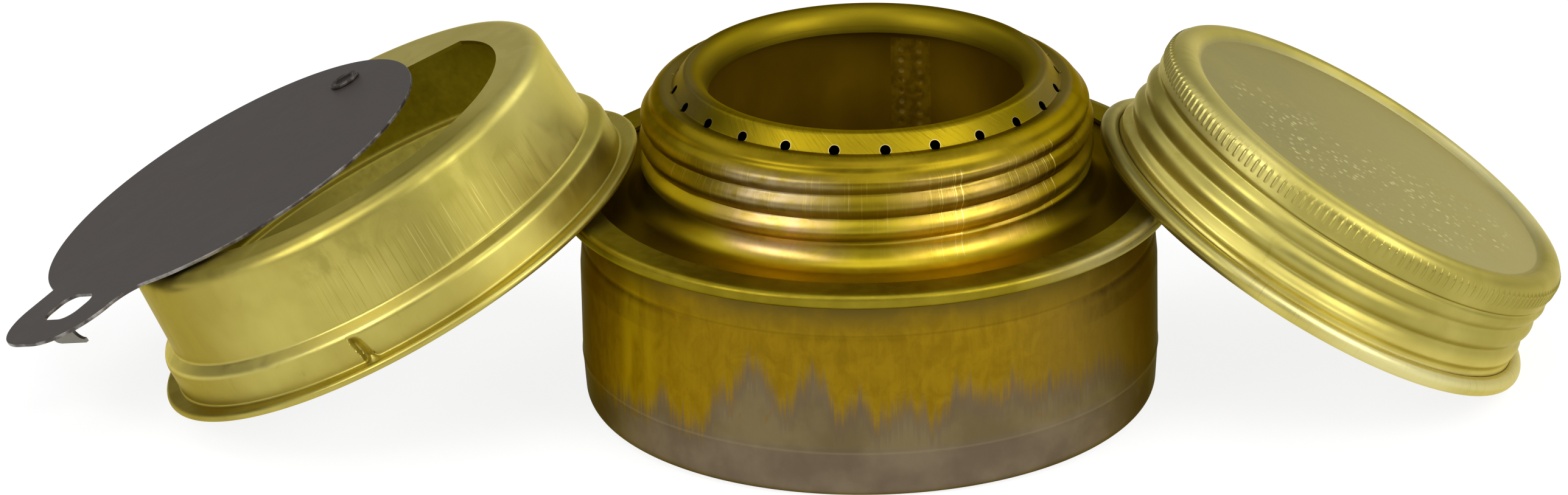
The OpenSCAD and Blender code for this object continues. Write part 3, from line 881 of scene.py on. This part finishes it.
def cup_material():
    p = Paint("cup_heat_stained_brass")
    z = p.z
    side = p.side()
    points = [((a + 180) / 360, h / STAIN_SPAN) for a, h in STAIN_EDGE]
    share = p.math("MULTIPLY_ADD", side, 1 / 360, 0.5)
    edge = p.times(p.curve(share, points), STAIN_SPAN)
    fine = p.noise((1.6, 1.6, 0.02), 6, 0.78)
    broad = p.noise((0.22, 0.22, 0.03), 3, 0.5, (3.1, 0, 0))
    cloud = p.noise(0.12, 4, 0.55, (7, 1, 2))
    fleck = p.noise((0.5, 0.5, 0.35), 4, 0.6, (1, 6, 3), 0.7)
    ragged = p.math("MULTIPLY_ADD", p.math("SUBTRACT", fine, 0.5), 12, edge)
    above = p.math("SUBTRACT", z, ragged)
    mottle = p.math("MULTIPLY_ADD", fleck, 0.7, p.times(fine, 0.3))
    amber = p.tones(mottle, (0.225, 0.132, 0.005), (0.295, 0.18, 0.007))
    streak = p.window(side, -58, -49, 3)
    amber = p.coat(amber, (0.45, 0.3, 0.01), streak, p.step(broad, 0.35, 0.55), 0.7)
    amber = p.coat(amber, (0.38, 0.25, 0.008), p.step(broad, 0.58, 0.75), 0.3)
    # Greyer and darker towards the right side: painted shade.
    amber = p.coat(amber, (0.175, 0.116, 0.034), p.window(side, 40, 130, 20), 0.7)
    # Darker in cloudy patches towards the rim. Evenly darker just under the rim: painted shade of
    # its overhang.
    amber = p.coat(amber, (0.14, 0.096, 0.014), p.step(z, 20, 24.5), p.step(cloud, 0.3, 0.55), 0.85)
    amber = p.coat(amber, (0.095, 0.066, 0.014), p.step(z, 22.6, 25), 0.7)
    p.colour = p.tones(cloud, (0.15, 0.112, 0.05), (0.195, 0.15, 0.07))
    p.lay((0.125, 0.086, 0.066), p.step(above, -4.5, -0.2), 0.6)
    p.lay((0.23, 0.115, 0.03), p.step(fleck, 0.62, 0.72), 0.6)
    foot = p.tones(cloud, (0.145, 0.108, 0.068), (0.195, 0.148, 0.092))
    p.lay(foot, p.step(z, 7.2, 5.4))
    p.lay(amber, p.step(above, -2.6, 2))
    beside = p.math("ABSOLUTE", side)
    # Darker on both sides of the wall: painted shade.
    p.lay((0.07, 0.052, 0.005), p.window(beside, 66, 122, 16), p.step(p.reach, 33, 34.2), 0.6)
    # Darker along the pressed crease: painted shade.
    crease = p.window(z, CREASE_H - 0.05, CREASE_H + 0.2, 0.12)
    p.lay((0.05, 0.03, 0.004), crease, 0.2)
    # Lighter line where the foot starts: painted highlight.
    foot_line_highlight = p.window(z, FOOT_H - 0.1, FOOT_H + 0.1, 0.15)
    p.lay((0.34, 0.28, 0.17), foot_line_highlight, 0.2)
    land = p.tones(cloud, (0.18, 0.126, 0.005), (0.27, 0.195, 0.009), 0.3, 0.7)
    # Lighter towards both sides: painted light.
    land = p.coat(land, (0.33, 0.255, 0.03), p.step(beside, 24, 60), 0.6)
    roll = p.tones(cloud, (0.2, 0.148, 0.008), (0.3, 0.232, 0.018), 0.3, 0.7)
    # Paler on the right: partly the rim scuffed bare, partly painted highlight.
    roll = p.coat(roll, (0.6, 0.53, 0.26), p.window(side, 42, 130, 17), 0.7)
    rim = p.mix(p.step(p.reach, 36.2, 36.9), land, roll)
    p.lay(rim, p.step(z, 25.2, 25.6))
    brushed = p.noise((5, 5, 0.05), 4, 0.6)
    rough = p.step(mottle, 0.3, 0.7, 0.38, 0.48)
    bumps = [(brushed, 0.008, 0.5), (fleck, 0.02, 0.5)]
    return p.finish(rough, bumps, 1, (0.34, 0.31, 0.06))


def collar_material():
    p = Paint("collar_heat_stained_brass")
    z = p.z
    side = p.side()
    patch = p.noise((0.09, 0.09, 0.16), 4, 0.6, (2, 5, 1), 0.6)
    blot = p.noise((0.3, 0.3, 0.35), 5, 0.65, (5, 3, 4), 0.8)
    streak = p.round_lines(side, 2, 0.1, 5, 0.65)
    cut = p.round_lines(side, 2.6, 0.01, 2, 0.7)
    slant = p.round_lines(p.math("MULTIPLY_ADD", z, 3, side), 1.6, 0.35, 3, 0.7)
    worn = p.step(patch, 0.35, 0.65)
    low = p.step(z, 33, 31.8)
    p.colour = p.mix(worn, (0.175, 0.12, 0.004), (0.255, 0.182, 0.008))
    # Lighter on the lower thread and the flare: painted light.
    p.lay(p.mix(worn, (0.37, 0.275, 0.011), (0.48, 0.37, 0.018)), low)
    thread = p.window(z, 27.4, 37.4, 0.6)
    # Pink and orange heat tint, laid on the two sides where the lamps' highlights fall and paler
    # low down: the tint is the brass's own, its brightness there is painted highlight.
    pink = p.times(thread, p.window(side, -38, -12, 10), p.step(blot, 0.2, 0.7), 0.8)
    p.lay(p.mix(low, (0.38, 0.3, 0.19), (0.68, 0.43, 0.26)), pink)
    orange = p.times(thread, p.window(side, 8, 48, 8), p.step(blot, 0.2, 0.7), 0.8)
    p.lay(p.mix(low, (0.4, 0.27, 0.07), (0.7, 0.44, 0.08)), orange)
    p.lay((0.52, 0.38, 0.1), p.step(streak, 0.56, 0.7), thread, 0.45)
    marked = p.math("MAXIMUM", p.window(side, 16, 27, 2), p.window(side, 38, 56, 3))
    p.lay((0.86, 0.7, 0.22), p.step(cut, 0.6, 0.67), marked, thread, 0.7)
    face = p.step(z, 39.35, 39.55)
    p.lay((0.27, 0.195, 0.005), face, 0.75)
    p.lay((0.15, 0.1, 0.003), face, p.step(slant, 0.52, 0.66), 0.6)
    p.lay((0.42, 0.32, 0.02), face, p.step(slant, 0.42, 0.3), 0.5)
    edge, hole = jet_marks(p, side, z)
    # Pale rings round the jets: painted highlight on their drilled rims.
    bare = p.times(edge, face, p.window(p.reach, CROWN_R, LEDGE_R, 0.08))
    p.lay((0.56, 0.46, 0.2), bare, 0.6)
    beside = p.math("ABSOLUTE", side)
    shaded = p.step(beside, 25, 60)
    p.lay((0.095, 0.072, 0.003), face, shaded, 0.7)
    # Greyer on both sides above the jets: painted sheen of a grazing reflection.
    p.lay((0.27, 0.22, 0.115), face, p.window(beside, 66, 115, 14), 0.6)
    # The shoulder's land darker towards the sides, and the flare's foot and the thread's lowest
    # turn darker on the sides: painted shade.
    flat = p.step(p.reach, 28.2, 29.8)
    land = p.mix(shaded, (0.26, 0.18, 0.004), (0.105, 0.068, 0.003))
    p.lay(land, p.step(p.reach, 27.1, 28.3), p.step(beside, 18, 40), 0.92)
    foot = p.times(p.step(z, 29.8, 28.8), p.step(beside, 38, 58), 0.9)
    p.lay(land, p.math("MAXIMUM", p.times(flat, 0.85), foot))
    lip = p.step(p.reach, 21.2, 20.7)
    p.lay((0.21, 0.155, 0.006), lip, 0.9)
    # Painted shade in the jet holes and on the lip's back seen through them.
    p.lay(DEEP_SHADE, hole)
    rough = p.math("MULTIPLY_ADD", lip, 0.08, p.step(patch, 0.3, 0.7, 0.35, 0.44))
    bumps = [
        (streak, 0.012, 0.5),
        (p.times(slant, face), 0.02, 0.5),
        (p.times(cut, marked), 0.03, 0.5),
    ]
    return p.finish(rough, bumps, 1, (0.75, 0.6, 0.2))


def jet_marks(p, side, z):
    """Pale rings round the jets, a painted highlight on their drilled rims, and painted shade in
    the holes and on the lip's back behind them.
    """
    gap = 360 / JET_COUNT
    off = p.math("FRACT", p.math("DIVIDE", p.math("SUBTRACT", side, JET_TURN), gap))
    across = p.times(p.math("SUBTRACT", off, 0.5), math.radians(gap) * JET_R)
    along = p.math("DIVIDE", p.math("SUBTRACT", z, LEDGE_Z + JET_RISE), math.sin(JET_SLOPE))
    away = p.math("SQRT", p.squares(across, along))
    inset = 1 / math.tan(JET_SLOPE)
    face_r = p.math("MULTIPLY_ADD", z, -inset, LEDGE_R + LEDGE_Z * inset)
    depth = p.times(p.math("SUBTRACT", face_r, p.reach), math.sin(JET_SLOPE))
    within = p.step(p.math("ABSOLUTE", across), JET_D / 2 + 0.2, JET_D / 2 + 0.1)
    tall = p.window(z, LEDGE_Z - 0.8, LEDGE_Z + 1.2, 0.1)
    hole = p.times(within, tall, p.window(depth, 0.06, SHEET + 0.15, 0.04))
    lip_r = THROAT_R + CROWN_ROLL
    inward = p.math("DIVIDE", p.math("SUBTRACT", lip_r, p.reach), FUNNEL_W)
    upward = p.math("DIVIDE", p.math("SUBTRACT", z, CROWN_Z - FUNNEL_H), FUNNEL_H)
    oval = p.squares(inward, upward)
    behind = p.times(p.step(oval, 0.93, 0.85), p.step(p.reach, lip_r + 0.1, lip_r))
    behind = p.times(behind, p.step(z, LEDGE_Z - 1.5, LEDGE_Z - 1.2))
    inside = p.math("MAXIMUM", hole, behind)
    return p.window(away, JET_D / 2 - 0.05, JET_D / 2 + 0.07, 0.04), inside


def tube_material():
    p = Paint("tube_dark_brass")
    patch = p.noise((0.1, 0.1, 0.05), 4, 0.5, (1, 4, 0))
    run = p.noise((0.8, 0.8, 0.03), 5, 0.6)
    p.colour = p.tones(patch, (0.26, 0.148, 0.003), (0.32, 0.19, 0.004), 0.3, 0.7)
    p.lay((0.18, 0.105, 0.003), p.step(p.z, 30, 38), 0.7)
    p.lay((0.2, 0.11, 0.003), p.step(run, 0.5, 0.75), 0.1)
    # Painted shade on the tube's outside, which is seen only in the dark cavity behind the jets.
    p.lay(DEEP_SHADE, p.step(p.reach, TUBE_R + 0.2, TUBE_R + 0.3))
    rough = p.step(patch, 0.3, 0.7, 0.5, 0.58)
    return p.finish(rough, [(run, 0.003, 0.3)])


def seam_material():
    """The tube's seam, with light spots where it was welded."""
    p = Paint("seam_welded_brass")
    heading = p.math("DEGREES", p.math("ARCTAN2", p.y, p.x))
    across = p.times(p.math("SUBTRACT", heading, SEAM_HEADING), math.radians(TUBE_R))
    phase = p.math("FRACT", p.math("DIVIDE", p.z, WELD_PITCH))
    up = p.times(p.math("SUBTRACT", phase, 0.5), WELD_PITCH)
    missing = p.noise((0.7, 0.7, 0.45), 2, 0.5, (2, 0, 5))
    worn = p.noise(0.9, 4, 0.6)
    p.colour = p.tones(worn, (0.25, 0.147, 0.003), (0.32, 0.195, 0.005))
    for column, shine in zip(WELD_COLUMNS, (0.25, 0.55)):
        off = p.math("SUBTRACT", across, column)
        square = p.squares(off, up)
        weld = p.times(p.step(square, 0.2, 0.05), p.step(missing, 0.36, 0.5))
        p.lay((0.58, 0.42, 0.09), weld, shine)
    return p.finish(p.step(worn, 0.3, 0.7, 0.5, 0.58), [(worn, 0.008, 0.3)])


def ring_material():
    """Satin brass of the ring: wiped upwards on its right half, with an olive film."""
    p = Paint("ring_satin_brass")
    z = p.z
    side = p.side(1)
    cloud = p.noise(0.07, 4, 0.55, (4, 2, 8))
    smear = p.noise((0.22, 0.22, 0.13), 5, 0.65, (1, 8, 3), 0.9)
    wiped = p.round_lines(side, 2, 0.06, 3, 0.7)
    grain = p.noise(5, 3, 0.6)
    p.colour = p.tones(cloud, (0.43, 0.36, 0.08), (0.51, 0.44, 0.11))
    # Darker on the left: painted shade.
    p.lay((0.3, 0.235, 0.045), p.window(side, -140, -33, 19), 0.8)
    wall = p.step(z, 5.8, 6.6)
    # Darker on the wall to the right of the front: painted shade.
    p.lay((0.26, 0.225, 0.05), p.window(side, 20, 52, 10), wall, 0.7)
    # Lighter on the wall further right: painted light.
    p.lay((0.7, 0.63, 0.2), p.window(side, 62, 120, 10), wall, 0.6)
    # Lighter on the shoulder's slope across the front: painted highlight.
    slope = p.times(p.window(z, 4.9, 6, 0.25), p.window(side, -120, 20, 14))
    p.lay((0.76, 0.67, 0.21), slope, 0.7)
    # Paler along the top edge on both sides: painted highlight.
    beyond = p.times(p.step(p.math("ABSOLUTE", side), 40, 100), p.step(z, 16.9, 17.5))
    p.lay((0.68, 0.61, 0.25), beyond, 0.85)
    low = p.times(p.window(z, 6.2, 12.8, 0.7), p.window(side, -4, 62, 6))
    p.lay((0.27, 0.225, 0.034), low, p.step(wiped, 0.54, 0.64), 0.5)
    p.lay((0.64, 0.57, 0.18), low, p.step(wiped, 0.42, 0.34), 0.45)
    film = p.times(p.window(z, 12.2, 16.2, 0.8), p.window(side, -6, 56, 8))
    p.lay((0.27, 0.235, 0.045), film, p.step(smear, 0.36, 0.6), 0.55)
    p.lay((0.26, 0.215, 0.035), p.step(smear, 0.62, 0.76), 0.35)
    rough = p.step(smear, 0.3, 0.7, 0.36, 0.47)
    bumps = [(wiped, 0.012, 0.5), (grain, 0.01, 0.6)]
    return p.finish(rough, bumps, 1, (0.95, 0.85, 0.45))


def ring_inside_material():
    p = Paint("ring_inside_painted_shade")
    cloud = p.noise(0.1, 4, 0.6, (2, 7, 1))
    speck = p.noise(1.2, 4, 0.65)
    # Darker all over inside the ring: painted shade.
    p.colour = p.tones(cloud, (0.125, 0.09, 0.002), (0.18, 0.138, 0.006), 0.3, 0.7)
    # Lighter low down inside, below the shoulder: painted light.
    p.lay((0.36, 0.3, 0.05), p.step(p.z, 6.4, 5.6))
    p.lay((0.12, 0.085, 0.004), p.step(speck, 0.58, 0.75), 0.15)
    rough = p.step(speck, 0.3, 0.7, 0.46, 0.56)
    return p.finish(rough, [(speck, 0.01, 0.3)], 1, (0.6, 0.5, 0.1))


def cap_material():
    """Satin brass of the cap: brushed curl, and a plain stipple on the cloudy panel."""
    p = Paint("cap_satin_brass")
    z = p.z
    side = p.side()
    cloud = p.noise(0.07, 4, 0.55, (4, 2, 8))
    smear = p.noise(0.16, 5, 0.65, (1, 8, 3), 0.9)
    scratch = p.noise((0.5, 3.5, 1), 4, 0.7, warp=0.6)
    brushed = p.round_lines(side, 3.2, 0.15, 3, 0.6)
    grain = p.noise(5, 3, 0.6)
    tone = p.step(cloud, 0.35, 0.65)
    p.colour = p.mix(tone, (0.36, 0.305, 0.068), (0.45, 0.39, 0.1))
    # Lighter on the knurl's left: painted light.
    p.lay((0.6, 0.53, 0.18), p.window(side, -110, -34, 12), p.step(z, 11, 11.8), 0.7)
    p.lay(p.mix(tone, (0.52, 0.435, 0.105), (0.62, 0.535, 0.145)), p.step(z, 5.4, 3.6))
    p.lay((0.3, 0.245, 0.038), p.step(smear, 0.58, 0.74), 0.3)
    curl = p.step(z, 2.5, 2.2)
    # Paler on the curl's upper half: painted highlight.
    p.lay((0.62, 0.56, 0.24), curl, p.step(z, 1.1, 1.6), 0.8)
    p.lay((0.3, 0.25, 0.05), p.step(brushed, 0.55, 0.7), curl, 0.4)
    # Darker on the curl's left: painted shade. Paler just right of the front: painted highlight.
    p.lay((0.26, 0.222, 0.05), curl, p.window(side, -120, -28, 10), 0.85)
    p.lay((0.78, 0.72, 0.36), curl, p.window(side, 0, 36, 14), 0.6)
    crest = p.step(z, CAP_H - 1, CAP_H - 0.4)
    # Pale on the crest's far right: painted highlight.
    p.lay((0.74, 0.68, 0.34), crest, p.window(side, 95, 150, 16), 0.8)
    # The panel lighter from left to right: painted light.
    across = p.step(p.x, -PANEL_R, PANEL_R)
    panel = p.mix(across, (0.315, 0.285, 0.128), (0.45, 0.405, 0.178))
    panel = p.coat(panel, (0.4, 0.355, 0.135), tone, 0.3)
    panel = p.coat(panel, (0.36, 0.31, 0.085), p.step(smear, 0.55, 0.75), 0.2)
    panel = p.coat(panel, (0.64, 0.57, 0.25), p.step(scratch, 0.62, 0.72), 0.2)
    near = p.times(p.step(p.y, 7, -3), p.step(p.reach, 21, 18.5), p.step(smear, 0.38, 0.56))
    stipple = p.times(p.dots((0.95, 0.95, 0), 0.4, 0.8), near)
    panel = p.coat(panel, (0.74, 0.68, 0.36), stipple, 0.7)
    within = p.step(p.reach, PANEL_R + 0.9, PANEL_R - 0.1)
    top = p.times(p.step(z, PANEL_Z - 0.5, PANEL_Z - 0.2), within)
    p.lay(panel, top)
    rough = p.step(smear, 0.3, 0.7, 0.38, 0.48)
    bumps = [(brushed, 0.012, 0.4), (grain, 0.009, 0.5), (p.times(stipple, top), 0.05, 0.6)]
    return p.finish(rough, bumps, 1, (1, 0.92, 0.6))


def steel_material(name, dark, light):
    p = Paint(name)
    cloud = p.noise(0.08, 5, 0.6, (3, 1, 6))
    grain = p.noise(4, 4, 0.6)
    scratch = p.noise((0.25, 3, 1), 3, 0.7, warp=0.5)
    p.colour = p.tones(cloud, dark, light, 0.3, 0.7)
    p.lay(light, p.step(grain, 0.5, 0.7), 0.6)
    p.lay(light, p.step(scratch, 0.62, 0.74), 0.35)
    rough = p.step(cloud, 0.3, 0.7, 0.42, 0.55)
    return p.finish(rough, [(grain, 0.008, 0.5)], 0.9)


def edge_material():
    """Cut edge of the flap: dark, with bare bright patches."""
    p = Paint("flap_cut_edge")
    patch = p.noise(0.35, 4, 0.6, (2, 3, 1))
    p.colour = p.tones(patch, (0.085, 0.073, 0.065), (0.32, 0.3, 0.27), 0.4, 0.68)
    return p.finish(p.step(patch, 0.3, 0.7, 0.42, 0.55), [(patch, 0.02, 0.5)], 0.9)


def rivet_material():
    """Dull steel, with painted shade in the hollow of the head."""
    p = Paint("rivet_dull_steel")
    worn = p.noise(1.2, 5, 0.65)
    p.colour = p.tones(worn, (0.04, 0.032, 0.026), (0.125, 0.11, 0.095), 0.4, 0.65)
    hollow = p.times(p.step(p.reach, *RIVET_HOLLOW[:2]), p.step(p.z, RING_H, RING_H + 0.3))
    # Painted shade in the hollow of the head.
    p.lay((0.02, 0.014, 0.01), hollow, 0.9)
    return p.finish(p.step(worn, 0.3, 0.7, 0.45, 0.6), [(worn, 0.05, 0.5)], 0.9)


def felt_material():
    p = Paint("wick_cotton_felt")
    fibre = p.noise((1.4, 1.4, 0.5), 6, 0.7, warp=1.2)
    p.colour = p.tones(fibre, (0.42, 0.37, 0.27), (0.7, 0.65, 0.54), 0.3, 0.7)
    return p.finish(0.95, [(fibre, 0.25, 0.8)], 0)


def rubber_material():
    p = Paint("seal_black_rubber")
    bloom = p.noise(0.5, 5, 0.6)
    p.colour = p.tones(bloom, (0.01, 0.01, 0.011), (0.035, 0.034, 0.033), 0.4, 0.75)
    rough = p.step(bloom, 0.3, 0.7, 0.55, 0.75)
    return p.finish(rough, [(bloom, 0.05, 0.4)], 0)


def dress(obj, materials, body, slot, *nodes):
    """Gives a piece its materials and body, and hides the nodes that it stands for; the slot is not
    used.
    """
    for material in materials:
        obj.data.materials.append(material)
    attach(obj, body)
    if nodes:
        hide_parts(*nodes)
    return obj


def dress_node(node, material):
    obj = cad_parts[node]
    obj.data.materials.clear()
    obj.data.materials.append(material)


dress(build_cup(), [cup_material()], "burner", "cup_brass", "fuel_cup")
dress(build_collar(), [collar_material()], "burner", "collar_brass", "jet_collar")
dress(build_tube(), [tube_material()], "burner", "tube_brass", "inner_tube")
dress(build_seam(), [seam_material()], "burner", "tube_brass")
ring_brass = [ring_material(), ring_inside_material()]
paint_inside(dress(build_ring(), ring_brass, "ring", "ring_brass", "simmer_ring"))
dress(build_rivet(), [rivet_material()], "ring", "rivet_steel", "pivot_rivet")
flap_steel = steel_material("flap_dark_steel", (0.083, 0.067, 0.057), (0.111, 0.092, 0.081))
tongue_steel = steel_material("tongue_bare_steel", (0.14, 0.135, 0.11), (0.24, 0.225, 0.18))
paint_edges(dress(build_flap(), [flap_steel, edge_material()], "flap", "flap_steel", "flap"))
dress(build_tongue(), [tongue_steel], "flap", "flap_steel")
cap_brass = cap_material()
dress(build_cap(), [cap_brass], "cap", "cap_brass", "screw_cap")
dress(build_knurl(), [cap_brass], "cap", "cap_brass")
dress_node("wick", felt_material())
dress_node("cap_seal", rubber_material())


# Stage, light and camera

FLOOR_HALF = 2.5
FLOOR_GLOW = 0.85
FLOOR_ALBEDO = 0.8
FLOOR_SHADE = 0.19


def floor_material():
    """White floor: it shows near-white to the eye and in metal, and keeps the shadow."""
    material = bpy.data.materials.new("floor_white")
    n = Nodes(material)
    n.tree.nodes.clear()
    plain = n.fed("ShaderNodeBsdfDiffuse", (FLOOR_ALBEDO,) * 3)
    shade = n.fed("ShaderNodeBsdfDiffuse", (FLOOR_SHADE,) * 3)
    glow = n.fed("ShaderNodeEmission", (1.0, 1.0, 1.0), FLOOR_GLOW)
    rays = n.node("ShaderNodeLightPath").outputs
    seen = n.math("MAXIMUM", rays["Is Camera Ray"], rays["Is Glossy Ray"])
    seen = n.math("MAXIMUM", seen, rays["Is Transmission Ray"])
    bright = n.fed("ShaderNodeAddShader", glow, shade)
    surface = n.fed("ShaderNodeMixShader", seen, plain, bright)
    n.node("ShaderNodeOutputMaterial", {"Surface": surface})
    return material


def build_floor():
    corners = [(-1, -1), (1, -1), (1, 1), (-1, 1)]
    mesh = bpy.data.meshes.new("floor")
    mesh.from_pydata([(x * FLOOR_HALF, y * FLOOR_HALF, 0) for x, y in corners], [], [(0, 1, 2, 3)])
    mesh.materials.append(floor_material())
    floor = link("floor", mesh)


# Studio walls: brightness at the horizon and overhead, and its share on the left and right
WALLS_LOW = 0.64
WALLS_HIGH = 0.46
WALLS_LEFT = 0.5
WALLS_RIGHT = 1.15


def build_world():
    """Studio walls: pale at the horizon, darker overhead and to the left."""
    world = bpy.data.worlds.new("studio")
    n = Nodes(world)
    way = n.node("ShaderNodeTexCoord").outputs["Generated"]
    x, _, z = n.node("ShaderNodeSeparateXYZ", {0: way}).outputs
    upward = n.step(z, 0.0, 0.5, WALLS_LOW, WALLS_HIGH)
    across = n.step(x, -0.5, 0.4, WALLS_LEFT, WALLS_RIGHT)
    walls = n.tree.nodes["Background"]
    n.feed(walls.inputs["Strength"], n.times(upward, across))
    n.feed(walls.inputs["Color"], (1.0, 1.0, 1.0))
    bpy.context.scene.world = world


# Softboxes: heading, elevation, distance, width, height, power
SOFTBOXES = {
    "softbox_left": (-50, 32, 1.0, 0.50, 0.50, 4.2),
    "softbox_right": (50, 32, 1.0, 0.55, 0.50, 4.6),
    "softbox_top": (0, 55, 1.1, 0.90, 0.30, 1.8),
    "softbox_over": (0, 80, 1.0, 0.50, 0.30, 1.3),
    "softbox_side": (-112, 50, 1.0, 0.60, 0.50, 1.2),
    "softbox_back": (118, 38, 1.0, 0.60, 0.50, 1.6),
}


def add_softbox(name, heading, elevation, distance, width, height, power):
    """Area light aimed at the burner; heading is from the viewer's side, to the right."""
    light = bpy.data.lights.new(name, "AREA")
    light.shape = "RECTANGLE"
    light.size = width
    light.size_y = height
    light.energy = power
    lamp = link(name, light)
    h = math.radians(heading)
    e = math.radians(elevation)
    away = Vector((math.sin(h) * math.cos(e), -math.cos(h) * math.cos(e), math.sin(e)))
    target = Vector((0, 0, 0.02))
    lamp.location = target + away * distance
    lamp.rotation_mode = "QUATERNION"
    lamp.rotation_quaternion = (-away).to_track_quat("-Z", "Y")


# Camera fitted to the photograph: place in millimetres, pitch and roll in radians
CAMERA_AT = (-10.27, -982.72, 422.08)
CAMERA_PITCH = 0.3899
CAMERA_ROLL = -0.0219
CAMERA_LENS = 201.06
SENSOR_W = 36.0


def build_camera():
    data = bpy.data.cameras.new("camera")
    data.sensor_fit = "HORIZONTAL"
    data.sensor_width = SENSOR_W
    data.lens = CAMERA_LENS
    data.clip_start = 0.05
    data.clip_end = 50.0
    camera = link("camera", data)
    camera.matrix_world = (
        Matrix.Translation(Vector(CAMERA_AT) * MM)
        @ Matrix.Rotation(math.pi / 2 - CAMERA_PITCH, 4, "X")
        @ Matrix.Rotation(CAMERA_ROLL, 4, "Z")
    )
    bpy.context.scene.camera = camera


build_floor()
build_world()
for light_name, light_setting in SOFTBOXES.items():
    add_softbox(light_name, *light_setting)
build_camera()
bpy.context.scene.view_settings.view_transform = "Standard"
